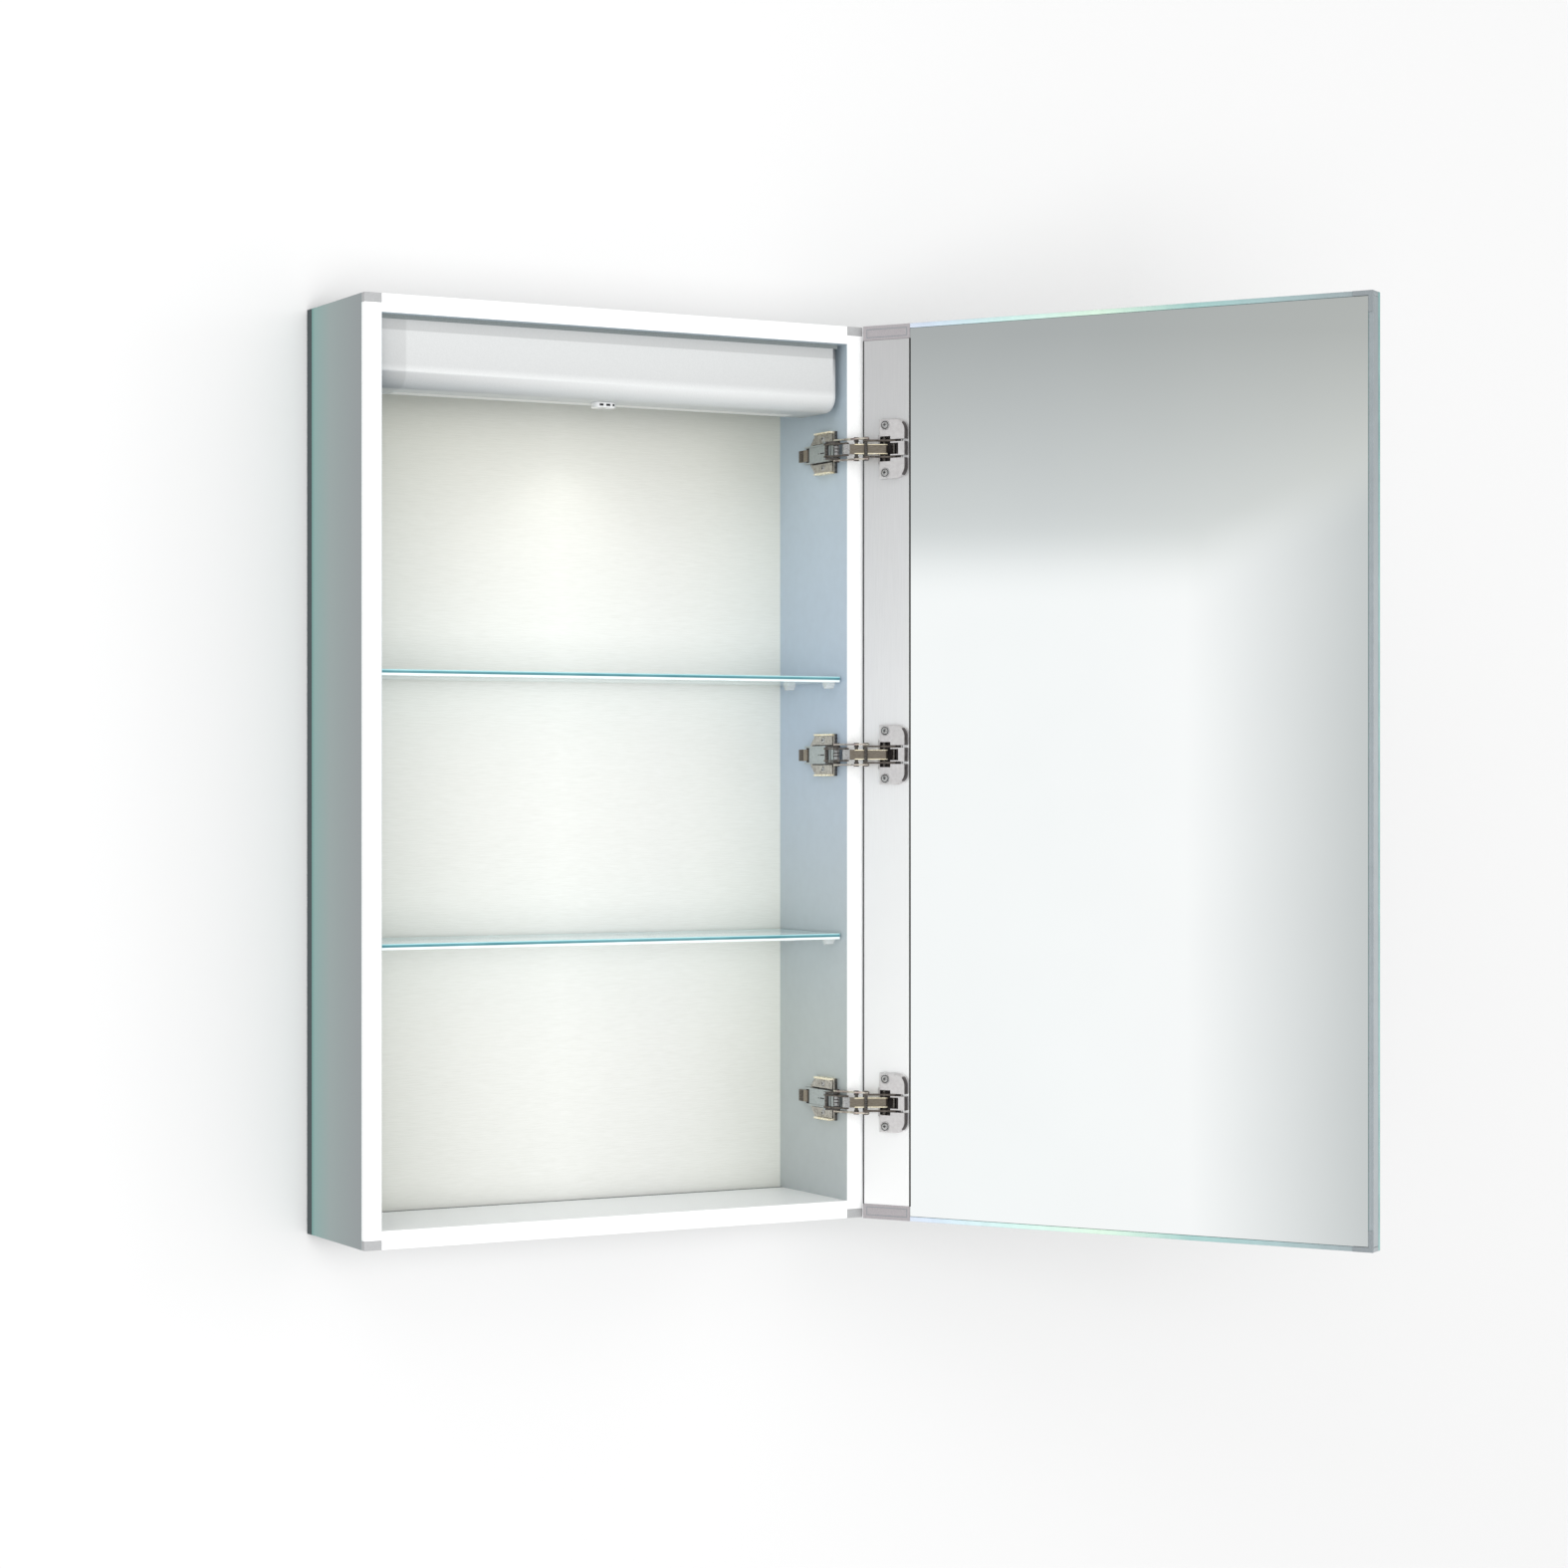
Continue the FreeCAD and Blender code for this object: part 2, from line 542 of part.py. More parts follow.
def make_cup(where, height):
    """Cast cup: a proud plate screwed to the rail and a bowl sunk into it."""
    cup = new_body(f"hinge_cup_{where}")
    sketch = new_sketch(cup, "XZ_Plane", "door_face")
    rectangle(sketch, "half_wide - cup_far", f"{height} - cup_half",
              "half_wide - cup_near", f"{height} + cup_half")
    pad(cup, sketch, "cup_proud", reverse=True)
    far_x = SIZES["half_wide"] - SIZES["cup_far"]
    fillet(cup, "cup_corner", lambda edge: near(edge.BoundBox.XMax, far_x)
           and near(edge.BoundBox.YLength, SIZES["cup_proud"]))
    fillet(cup, "skin", lambda edge: near(edge.BoundBox.YMin, SIZES["cup_proud"]
                                          - SIZES["door_face"]))
    sketch = new_sketch(cup, "XZ_Plane", "door_face")
    rectangle(sketch, "half_wide - bowl_far", f"{height} - bowl_half",
              "half_wide - bowl_near", f"{height} + bowl_half")
    pad(cup, sketch, "bowl_deep")
    inside = new_sketch(cup, "XZ_Plane", "door_face + bowl_deep - bowl_wall")
    rectangle(inside, "half_wide - bowl_far + bowl_wall", f"{height} - bowl_half + bowl_wall",
              "half_wide - bowl_near - bowl_wall", f"{height} + bowl_half - bowl_wall")
    pocket(cup, inside, "bowl_deep - bowl_wall")
    mouth = new_sketch(cup, "XZ_Plane", "door_face")
    rectangle(mouth, "half_wide - mouth_far", f"{height} - bowl_half + bowl_wall",
              "half_wide - bowl_near - bowl_wall", f"{height} + bowl_half - bowl_wall")
    pocket(cup, mouth, "cup_proud + past")
    notch = new_sketch(cup, "XZ_Plane", "door_face")
    rectangle(notch, "half_wide - bowl_far + bowl_wall", f"{height} - notch_half",
              "half_wide - mouth_far + past", f"{height} + notch_half")
    pocket(cup, notch, "cup_proud + past")
    slits = new_sketch(cup, "XZ_Plane", "door_face")
    for low, high in (("slit_low", "slit_high"), ("-slit_high", "-slit_low")):
        rectangle(slits, "half_wide - cup_far - past", f"{height} + {low}",
                  "half_wide - mouth_far + past", f"{height} + {high}")
    pocket(cup, slits, "cup_proud + past")
    pins = new_sketch(cup, "XY_Plane", height)
    for name in ("cup_main", "cup_short"):
        circle(pins, name + "_x", name + "_y", "pin_rad + pin_clear")
    pocket(cup, pins)
    holes = new_sketch(cup, "XZ_Plane", "door_face")
    for offset in ("cup_screw_high", "-cup_screw_high"):
        circle(holes, "half_wide - cup_screw_in", f"{height} + {offset}", "small_rad")
    pocket(cup, holes)
    return cup


def make_door_hardware():
    cups = [make_cup(where, height) for where, height in HINGES.items()]
    screws, pins = [], []
    for where, height in HINGES.items():
        for name, offset in (("upper", "cup_screw_high"), ("lower", "-cup_screw_high")):
            screws.append(screw(f"cup_screw_{where}_{name}", "half_wide - cup_screw_in",
                                "cup_proud - door_face", f"{height} + {offset}",
                                "cup_proud + skin", V(0, -1, 0)))
        for name in ("cup_main", "cup_short"):
            pins.append(rod(f"pin_{where}_{name}", name + "_x", name + "_y",
                            f"{height} - bowl_half", "pin_rad", "2 * bowl_half"))
    return cups + [group("cup_screws", screws), group("cup_pins", pins)]


# ---- hinge arms on the cabinet wall --------------------------------------------------
def make_mounting_plate(where, height):
    """Winged plate on the right inner wall, with raised outer flanges and a centre rail."""
    body = new_body(f"mounting_plate_{where}")
    face = "inner_wide - plate_thick"
    front, rear = "-depth + plate_front", "-depth + plate_rear"
    sketch = new_sketch(body, "YZ_Plane", face)
    outline(sketch, [
        (front, f"{height} - plate_half"), (f"{rear} - plate_corner", f"{height} - plate_half"),
        (rear, f"{height} - plate_half + plate_corner"),
        (rear, f"{height} + plate_half - plate_corner"),
        (f"{rear} - plate_corner", f"{height} + plate_half"), (front, f"{height} + plate_half"),
    ])
    pad(body, sketch, "plate_thick")
    raised = new_sketch(body, "YZ_Plane", f"{face} - flange_tall")
    for low, high in (("-plate_half", "-plate_half + flange_thick"),
                      ("plate_half - flange_thick", "plate_half")):
        rectangle(raised, f"{front} + flange_tall", f"{height} + {low}",
                  f"{rear} - plate_corner - flange_tall", f"{height} + {high}")
    pad(body, raised, "flange_tall")
    rail = new_sketch(body, "YZ_Plane", f"{face} - boss_tall")
    rectangle(rail, "-depth + boss_front", f"{height} - boss_half",
              "-depth + boss_rear", f"{height} + boss_half")
    pad(body, rail, "boss_tall")
    holes = new_sketch(body, "YZ_Plane", face)
    for offset in ("plate_screw_high", "-plate_screw_high"):
        circle(holes, "-depth + plate_screw_in", f"{height} + {offset}", "small_rad")
    pocket(body, holes)
    return body


def make_arm(where, height):
    """Channel-shaped arm whose two cheeks carry the arm pins."""
    arm = new_body(f"hinge_arm_{where}")
    top, outer = "inner_wide - arm_top", "cheek_low + cheek_thick"
    web = new_sketch(arm, "XY_Plane", height)
    rectangle(web, top, "-depth + web_front", f"{top} + cheek_thick", "-depth + web_rear")
    pad(arm, web, f"2 * ({outer})", both_ways=True)
    for low in ("cheek_low", minus(outer)):
        cheek = new_sketch(arm, "XY_Plane", f"{height} + {low}")
        outline(cheek, [
            ("inner_wide - arm_rise", "-depth + arm_front"),
            ("inner_wide - plate_thick", "-depth + arm_front"),
            ("inner_wide - plate_thick", "-depth + arm_rear"),
            (f"{top} - arm_edge", "-depth + arm_rear"),
            (f"{top} - arm_edge", "-depth + rise_rear"),
            ("inner_wide - arm_rise", "-depth + web_front"),
        ])
        pad(arm, cheek, "cheek_thick")
        ear = new_sketch(arm, "XY_Plane", f"{height} + {low}")
        slot(ear, "arm_main", "arm_short", "cheek_rad")
        pad(arm, ear, "cheek_thick")
    pins = new_sketch(arm, "XY_Plane", height)
    for name in ("arm_main", "arm_short"):
        circle(pins, name + "_x", name + "_y", "pin_rad + pin_clear")
    circle(pins, "lever_x", "lever_y", "lever_pin + pin_clear")
    pocket(arm, pins)
    groove = new_sketch(arm, "YZ_Plane", f"{top} + groove_deep")
    middle = "-depth + (web_front + web_rear) / 2"
    rectangle(groove, f"{middle} - groove_long / 2", f"{height} - groove_wide / 2",
              f"{middle} + groove_long / 2", f"{height} + groove_wide / 2")
    pocket(arm, groove, "groove_deep + past")
    return arm


def make_lever(where, height):
    """Sprung release lever behind the arm; pressing its tail towards the wall frees the arm."""
    lever = new_body(f"release_lever_{where}")
    sketch = new_sketch(lever, "XY_Plane", height)
    slot(sketch, "lever", "lever_tip", "lever_rad")
    pad(lever, sketch, "2 * lever_half", both_ways=True)
    hole = new_sketch(lever, "XY_Plane", height)
    circle(hole, "lever_x", "lever_y", "lever_pin + pin_clear")
    pocket(lever, hole)
    return lever


def make_wall_hardware():
    plates = [make_mounting_plate(where, height) for where, height in HINGES.items()]
    arms = [make_arm(where, height) for where, height in HINGES.items()]
    levers = [make_lever(where, height) for where, height in HINGES.items()]
    screws, pins = [], []
    for where, height in HINGES.items():
        for name, offset in (("upper", "plate_screw_high"), ("lower", "-plate_screw_high")):
            screws.append(screw(f"plate_screw_{where}_{name}", "inner_wide - plate_thick",
                                "-depth + plate_screw_in", f"{height} + {offset}",
                                "plate_thick + screw_bite", V(1, 0, 0)))
        for name, reach, size in (
                ("arm_main", "side_low + side_thick + pin_head", "pin_rad"),
                ("arm_short", "cheek_low + cheek_thick", "pin_rad"),
                ("lever", "cheek_low + cheek_thick", "lever_pin")):
            pins.append(rod(f"pin_{where}_{name}", name + "_x", name + "_y",
                            f"{height} - ({reach})", size, f"2 * ({reach})"))
    return plates + arms + levers + [group("plate_screws", screws), group("arm_pins", pins)]


# ---- links -------------------------------------------------------------------------
def link(name, height, pins, radius, low, thick):
    """One flat link through its pins, lying above the hinge's mid height."""
    body = new_body(name)
    for start, end in zip(pins, pins[1:]):
        sketch = new_sketch(body, "XY_Plane", f"{height} + ({low})")
        slot(sketch, start, end, radius)
        pad(body, sketch, thick)
    holes = new_sketch(body, "XY_Plane", f"{height} + ({low})")
    for pin in pins:
        circle(holes, pin + "_x", pin + "_y", "pin_rad + pin_clear")
    pocket(body, holes)
    return body


def link_pairs(label, pins, radius, low, thick):
    """A pair of like links in every hinge, one above and one below its mid height."""
    members = []
    for where, height in HINGES.items():
        members.append(link(f"{label}_{where}_upper", height, pins, radius, low, thick))
        members.append(link(f"{label}_{where}_lower", height, pins, radius,
                            f"-({low}) - ({thick})", thick))
    return group(label, members)


def link_pins(label, reaches):
    pins = []
    for where, height in HINGES.items():
        for name, reach in reaches:
            pins.append(rod(f"{label}_{where}_{name}", name + "_x", name + "_y",
                            f"{height} - ({reach})", "pin_rad", f"2 * ({reach})"))
    return group(label, pins)


def make_links():
    """The four kinds of link: side plates, central bars and the two pairs of short links."""
    side_reach = "side_low + side_thick + pin_head"
    sides = [link_pairs("side_links", ("arm_main", "cross", "side_tip"), "side_rad",
                        "side_low", "side_thick"),
             link_pins("side_link_pins", (("cross", side_reach), ("side_tip", side_reach)))]
    bars = group("central_bars", [
        link(f"central_bar_{where}", height, ("bar_tail", "cross", "cup_main"), "bar_rad",
             "-bar_half", "2 * bar_half") for where, height in HINGES.items()])
    bar_parts = [bars, link_pins("bar_pins", (("bar_tail", "short_low + short_thick + fit"),))]
    arm_side = link_pairs("arm_short_links", ("arm_short", "bar_tail"), "short_rad",
                          "short_low", "short_thick")
    cup_side = link_pairs("cup_short_links", ("side_tip", "cup_short"), "cup_link_rad",
                          "cheek_low", "cheek_thick")
    return sides, bar_parts, [arm_side], [cup_side]


# ---- build, place open, check and write ------------------------------------------------
def turned(centre, point=None):
    """The open pose: a turn about a point of the plan, or where that turn takes a point."""
    turn = FreeCAD.Placement(V(0, 0, 0), FreeCAD.Rotation(V(0, 0, 1), SWING), V(*centre, 0))
    return turn if point is None else turn.multVec(V(*point, 0))


def shifted(start):
    """The open pose of a link that moves with the side links' pin without turning."""
    moved = turned(PLACES["arm_main"], PLACES[start]) - V(*PLACES[start], 0)
    return FreeCAD.Placement(moved, FreeCAD.Rotation())


fixed = make_rear() + make_side("left", -1) + make_side("right", 1) + make_rails()
fixed += make_light() + make_shelves() + make_wall_hardware()
door = make_door() + make_door_hardware()
side_parts, bar_parts, arm_short, cup_short = make_links()
doc.recompute()
posed = [(door, turned(to_box(POLE))), (side_parts, turned(PLACES["arm_main"])),
         (bar_parts, shifted("cross")), (arm_short, turned(PLACES["arm_short"])),
         (cup_short, shifted("side_tip"))]
for pieces, placement in posed:
    for piece in pieces:
        piece.Placement = placement
doc.recompute()

nodes = fixed + [piece for pieces, _ in posed for piece in pieces]
for item in doc.Objects:
    if "Invalid" in item.State or "Error" in item.State:
        raise RuntimeError(f"{item.Label} failed: {item.State}")
for piece in nodes:
    if piece.Shape.isNull() or not piece.Shape.isValid() or not piece.Shape.Solids:
        raise RuntimeError(f"{piece.Label} has no valid solid")
for piece in nodes:
    piece.Shape.exportStep(f"parts/{piece.Label}.step")
print(len(nodes), "sub-parts")
for name, (x, y) in PLACES.items():
    print(f"{name}: {x:.3f} {y:.3f}")
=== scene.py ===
# %% [markdown]
# # A mirrored medicine cabinet
# The cabinet hangs on a wall with its door open. Its box, door, shelves and hinges come
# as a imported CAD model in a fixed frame: metres, +X right, +Y into the wall, +Z up, with
# the origin at the centre of the back face. This lesson gives every piece its finished
# shape, with worn-off edges, and a finish of its own. The frame's joints say where the
# door turns, so nothing is measured twice.

# %% Load the frame
import json
import math

import bmesh
import bpy
from mathutils import Matrix, Vector


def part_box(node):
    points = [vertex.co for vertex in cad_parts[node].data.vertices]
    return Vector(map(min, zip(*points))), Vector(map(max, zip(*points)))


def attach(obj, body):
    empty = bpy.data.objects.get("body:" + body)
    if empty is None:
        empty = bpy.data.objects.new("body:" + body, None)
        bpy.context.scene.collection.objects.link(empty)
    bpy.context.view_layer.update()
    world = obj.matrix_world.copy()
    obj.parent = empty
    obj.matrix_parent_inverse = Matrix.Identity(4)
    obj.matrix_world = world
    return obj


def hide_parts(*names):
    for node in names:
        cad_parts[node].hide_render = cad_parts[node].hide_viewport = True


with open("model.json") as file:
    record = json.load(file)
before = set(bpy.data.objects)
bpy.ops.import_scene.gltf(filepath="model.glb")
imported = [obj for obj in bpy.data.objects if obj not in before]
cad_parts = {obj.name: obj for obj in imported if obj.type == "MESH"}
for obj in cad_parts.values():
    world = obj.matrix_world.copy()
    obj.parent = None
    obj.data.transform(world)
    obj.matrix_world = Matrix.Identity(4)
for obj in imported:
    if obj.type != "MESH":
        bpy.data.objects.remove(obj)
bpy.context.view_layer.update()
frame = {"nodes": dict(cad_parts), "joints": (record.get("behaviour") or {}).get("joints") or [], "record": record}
record = frame["record"]
JOINTS = {joint["name"]: joint for joint in frame["joints"]}
BODY_OF = {node: body for body, nodes in record["behaviour"]["bodies"].items()
           for node in nodes}
HINGE_NAMES = ("top", "middle", "bottom")
MM = 0.001

# %% [markdown]
# ## Places that everything hangs on
# Boxes of nodes and axes of joints are read from the frame, since numbers typed in again
# would drift from the CAD. The door turns about one upright pole, and OPENED is that turn:
# it takes a point of the shut door to where it stands open, and its inverse takes it back.

# %% Places that the frame gives
def middle(node):
    """The middle of a node's box."""
    low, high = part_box(node)
    return (low + high) / 2


def pin(joint):
    """A joint's axis in millimetres of the plan."""
    return Vector(JOINTS[joint]["pos_m"][:2]) / MM


SWING = math.radians(-JOINTS["door_swing"]["range_deg"][0])
POLE = Vector(JOINTS["door_swing"]["pos_m"])
OPENED = (Matrix.Translation(POLE) @ Matrix.Rotation(SWING, 4, "Z")
          @ Matrix.Translation(-POLE))
HEIGHTS = [middle("hinge_arm_" + name).z for name in HINGE_NAMES]
WALL_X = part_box("mounting_plate_top")[1].x / MM
FRONT_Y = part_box("right_side_panel")[0].y / MM
print("hinges at", [round(height, 3) for height in HEIGHTS], "wall face", round(WALL_X, 2))

# %% [markdown]
# ## Finishes
# Real paint, metal and glass are never one flat colour. Each finish here is one noise
# pattern on Object coordinates: it shifts the colour between two close tones, moves the
# roughness with it and lifts a little relief. Stretching the pattern along an axis turns
# the same recipe into brushed metal. An image texture would need files and unwrapping,
# so a procedural pattern is the better choice on plain manufactured parts.

# %% The recipe for a finish
GRAIN_DETAIL = 4.0
RELIEF_DEPTH = 0.5 * MM
COAT_ROUGHNESS = 0.08


def start_material(name):
    """A new material, with its tree and its shader node."""
    material = bpy.data.materials.new(name)
    material.use_nodes = True
    return material, material.node_tree, material.node_tree.nodes["Principled BSDF"]


def feed(tree, socket, source):
    """A socket takes a link or a plain value."""
    if isinstance(source, bpy.types.NodeSocket):
        tree.links.new(source, socket)
    else:
        socket.default_value = source


def add(tree, kind, *links, **values):
    """A node of a kind, with properties or input values set and inputs linked."""
    made = tree.nodes.new(kind)
    for key, value in values.items():
        if key.startswith("in_"):
            made.inputs[int(key[3:])].default_value = value
        else:
            setattr(made, key, value)
    for socket, source in links:
        tree.links.new(source, made.inputs[socket])
    return made


def set_inputs(node, **values):
    """Plain values for a node's inputs, with _ for a space in a name."""
    for socket, value in values.items():
        node.inputs[socket.replace("_", " ")].default_value = value


def remap(tree, source, low, high, start=0.0, end=1.0, **kind):
    """A value's range from low to high, spread over start to end."""
    return add(tree, "ShaderNodeMapRange", (0, source), in_1=low, in_2=high, in_3=start,
               in_4=end, **kind).outputs[0]


def ramp(tree, source, stops):
    """A colour ramp over a value, from (position, colour) stops. A number is a grey."""
    made = add(tree, "ShaderNodeValToRGB", (0, source))
    elements = made.color_ramp.elements
    while len(elements) < len(stops):
        elements.new(0.5)
    for element, (position, colour) in zip(elements, stops):
        element.position = position
        tone = (colour,) * 3 if isinstance(colour, float) else colour
        element.color = (*tone, 1.0)
    return made.outputs[0]


def grain_of(tree, stretch, scale):
    """A noise on Object coordinates, stretched into streaks where it is asked for."""
    place = add(tree, "ShaderNodeTexCoord")
    mapped = add(tree, "ShaderNodeMapping", (0, place.outputs["Object"]), in_3=stretch)
    noise = add(tree, "ShaderNodeTexNoise", (0, mapped.outputs[0]), in_2=scale,
                in_3=GRAIN_DETAIL)
    return noise.outputs["Fac"]


def finish(name, dark, light, rough, metal=0.0, stretch=(1, 1, 1), scale=300.0,
           relief=0.02, coat=0.0, colour=None, **sockets):
    """A finish from one grain: two tones, a range of roughness and a little relief."""
    material, tree, shader = start_material(name)
    grain = grain_of(tree, stretch, scale)
    tone = colour(tree, grain) if colour else ramp(tree, grain, [(0.3, dark), (0.7, light)])
    tree.links.new(tone, shader.inputs["Base Color"])
    tree.links.new(remap(tree, grain, 0.3, 0.7, *rough), shader.inputs["Roughness"])
    if relief:
        bump = add(tree, "ShaderNodeBump", ("Height", grain))
        set_inputs(bump, Strength=relief, Distance=RELIEF_DEPTH)
        tree.links.new(bump.outputs[0], shader.inputs["Normal"])
    set_inputs(shader, Metallic=metal, **sockets)
    if coat:
        set_inputs(shader, Coat_Weight=coat, Coat_Roughness=COAT_ROUGHNESS)
    return material


def along(tree, axis, low, high):
    """0 to 1 along one axis of the Object coordinates, between two places in metres."""
    place = add(tree, "ShaderNodeTexCoord")
    parts = add(tree, "ShaderNodeSeparateXYZ", (0, place.outputs["Object"]))
    return remap(tree, parts.outputs[axis], low, high)


def blend_colours(tree, share, one, two, mode="MIX"):
    """Two colours mixed or multiplied. Each source is a link or a plain value."""
    mix = add(tree, "ShaderNodeMix", data_type="RGBA", blend_type=mode)
    for socket, source in ((0, share), (6, one), (7, two)):
        feed(tree, mix.inputs[socket], source)
    return mix.outputs[2]


def times(tree, one, two):
    """Two colours multiplied."""
    return blend_colours(tree, 1.0, one, two, "MULTIPLY")


def linked(name, data):
    """A new object in the scene."""
    made = bpy.data.objects.new(name, data)
    bpy.context.scene.collection.objects.link(made)
    return made

# %% [markdown]
# ## Painted and moulded finishes
# The cabinet's frame is powder coated white, with the fine ripple that such a coat has.
# The end caps and the housing are moulded or painted light grey, and the rear frame is
# dark. Their grain is even in all directions. The housing also has painted light in slow
# bands up its front: a painted highlight low on its curve, and painted shade at its
# bottom, below the top rail and at its left end.

# %% Paint and plastic
white_coat = finish("white_powder_coat", (0.90, 0.91, 0.91), (0.95, 0.955, 0.955),
                    (0.32, 0.42), scale=900.0, relief=0.05)
cap_plastic = finish("grey_cap_plastic", (0.36, 0.365, 0.37), (0.43, 0.435, 0.44),
                     (0.45, 0.6), scale=1500.0, relief=0.08)
clip_plastic = finish("dark_clip_plastic", (0.20, 0.225, 0.24), (0.25, 0.275, 0.29),
                      (0.4, 0.5), scale=1500.0, relief=0.05)
# A grey block fills the gap above the housing's front: painted shade for that gap.
gap_shade_finish = finish("grey_gap_painted_shade", (0.19, 0.215, 0.215), (0.25, 0.275, 0.275),
                   (0.7, 0.85), scale=1800.0, relief=0.15)
rail_cap_plastic = finish("mauve_cap_plastic", (0.30, 0.28, 0.295), (0.40, 0.375, 0.385),
                          (0.42, 0.55), scale=1500.0, relief=0.08)
rear_paint = finish("dark_rear_paint", (0.035, 0.05, 0.055), (0.05, 0.07, 0.075),
                    (0.4, 0.55), scale=700.0, relief=0.06)
board_paint = finish("board_coat", (0.80, 0.82, 0.78), (0.88, 0.90, 0.86), (0.4, 0.5))
inner_plastic = finish("inner_plastic", (0.55, 0.55, 0.53), (0.64, 0.64, 0.62),
                       (0.5, 0.6), scale=800.0)
grommet_rubber = finish("grommet_rubber", (0.015, 0.015, 0.015), (0.03, 0.03, 0.03),
                        (0.6, 0.8), scale=900.0, relief=0.1)
opal = finish("opal_diffuser", (0.68, 0.68, 0.66), (0.74, 0.74, 0.72), (0.3, 0.4),
              scale=200.0)
sensor_lens = finish("dark_sensor_lens", (0.008, 0.008, 0.01), (0.02, 0.02, 0.025),
                     (0.05, 0.1), scale=500.0, relief=0.0)


def housing_tones_and_painted_light(tree, grain):
    """A satin grey, with painted shade at the bottom, below the top rail and at the left end cap, and a painted
    highlight band low on the curve.
    """
    low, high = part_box("light_housing")
    body = ramp(tree, grain, [(0.3, (0.58, 0.59, 0.59)), (0.7, (0.62, 0.63, 0.63))])
    # Painted light up the front: painted shade at the bottom and in the strip below the top rail, with a painted
    # highlight band low on the curve.
    strip = ramp(tree, along(tree, "Z", low.z, high.z), [
        (0.0, (0.86, 0.87, 0.87)), (0.06, (0.94, 0.95, 0.95)), (0.16, 1.05), (0.24, 1.12),
        (0.34, 0.94), (0.835, 1.0), (0.845, 0.80)])
    # Painted shade along the left end cap, beside the side wall.
    end = ramp(tree, along(tree, "X", low.x, low.x + 25 * MM), [
        (0.0, 0.84), (0.93, 0.88), (1.0, 1.0)])
    return times(tree, times(tree, body, strip), end)


housing_paint = finish("satin_housing_paint", None, None, (0.34, 0.42), scale=1200.0,
                       relief=0.03, colour=housing_tones_and_painted_light, coat=0.15)

# %% [markdown]
# ## Brushed and lined insides
# The back liner is brushed sideways, so its grain is stretched along X, and its colour
# is a warm grey. Over the fine grain it carries painted light: a painted highlight in an
# upright band down its middle, and painted shade towards the top and its upper corners.
# The side walls are lined with a cool blue-grey sheet, with painted light that is greyer
# near the bottom and bluer higher up.

# %% Linings
INNER_LOW, INNER_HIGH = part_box("back_panel")


def liner_tones_and_painted_light(tree, grain):
    fine = ramp(tree, grain, [(0.25, (0.83, 0.83, 0.79)), (0.75, (0.93, 0.93, 0.90))])
    # Painted highlight: an upright bright band down the middle, dimmer towards both sides.
    across = ramp(tree, along(tree, "X", INNER_LOW.x, INNER_HIGH.x), [
        (0.0, (0.80, 0.81, 0.78)), (0.3, (0.98, 0.98, 0.97)), (0.5, 1.06), (0.72, 1.0),
        (1.0, (0.94, 0.95, 0.92))])
    # Painted shade: darker towards the top, under the housing, and a touch darker at the bottom.
    up = ramp(tree, along(tree, "Z", INNER_LOW.z, INNER_HIGH.z), [
        (0.0, 0.96), (0.3, 1.0), (0.66, 1.0), (0.76, (0.93, 0.93, 0.92)),
        (0.86, (0.80, 0.80, 0.78)), (1.0, (0.74, 0.74, 0.70))])
    return times(tree, times(tree, fine, across), up)


def lining_tones_and_painted_light(tree, grain):
    fine = ramp(tree, grain, [(0.3, 0.96), (0.7, 1.0)])
    # Painted light up the wall: greyer near the bottom, bluer and lighter higher up.
    slow = ramp(tree, along(tree, "Z", INNER_LOW.z, INNER_HIGH.z), [
        (0.0, (0.45, 0.49, 0.50)), (0.2, (0.46, 0.51, 0.51)), (0.35, (0.46, 0.52, 0.56)),
        (0.55, (0.45, 0.54, 0.65)), (1.0, (0.47, 0.555, 0.61))])
    return times(tree, fine, slow)


liner_metal = finish("brushed_liner", None, None, (0.42, 0.55), metal=0.25,
                     stretch=(1.5, 1, 60), scale=60.0, relief=0.04, colour=liner_tones_and_painted_light)
wall_lining = finish("blue_grey_lining", None, None, (0.3, 0.36), metal=0.1,
                     scale=120.0, relief=0.0, colour=lining_tones_and_painted_light)

# %% [markdown]
# ## Mirror and glass
# A mirror is clear glass over silver: from the front it is almost a perfect reflector
# with a faint green tint, and on its cut edges the green of the glass shows. The two are
# separate finishes, given to different faces. The side glass carries a painted reflection:
# green next to the wall, bright aqua just in front of that, and grey towards the front.

# %% Mirrors
silver = finish("mirror_silver", (0.84, 0.865, 0.865), (0.86, 0.885, 0.885),
                (0.0, 0.02), metal=1.0, scale=6.0, relief=0.0)


def side_glass_painted_reflection(tree, grain):
    # Painted reflection along the side glass, from the wall to the front.
    glass_rear = -10 * MM
    return ramp(tree, along(tree, "Y", glass_rear, FRONT_Y * MM), [
        (0.0, (0.34, 0.72, 0.66)), (0.06, (0.62, 0.90, 0.86)), (0.35, (0.74, 0.84, 0.83)),
        (1.0, (0.68, 0.70, 0.72))])


side_silver = finish("side_mirror_silver", None, None, (0.02, 0.05), metal=1.0,
                     scale=6.0, relief=0.0, colour=side_glass_painted_reflection)
glass_edge = finish("green_glass_edge", (0.10, 0.26, 0.25), (0.18, 0.38, 0.36),
                    (0.08, 0.16), scale=40.0, relief=0.0, coat=0.5)

# %% [markdown]
# ## Shelf glass
# The shelves are thin clear panes. Real refraction would need many bounces of light, so a
# see-through surface that reflects more at a low angle looks right and stays quick. Their
# polished edges are nearly solid teal with a painted highlight, a bright lower line, which
# is a second finish.

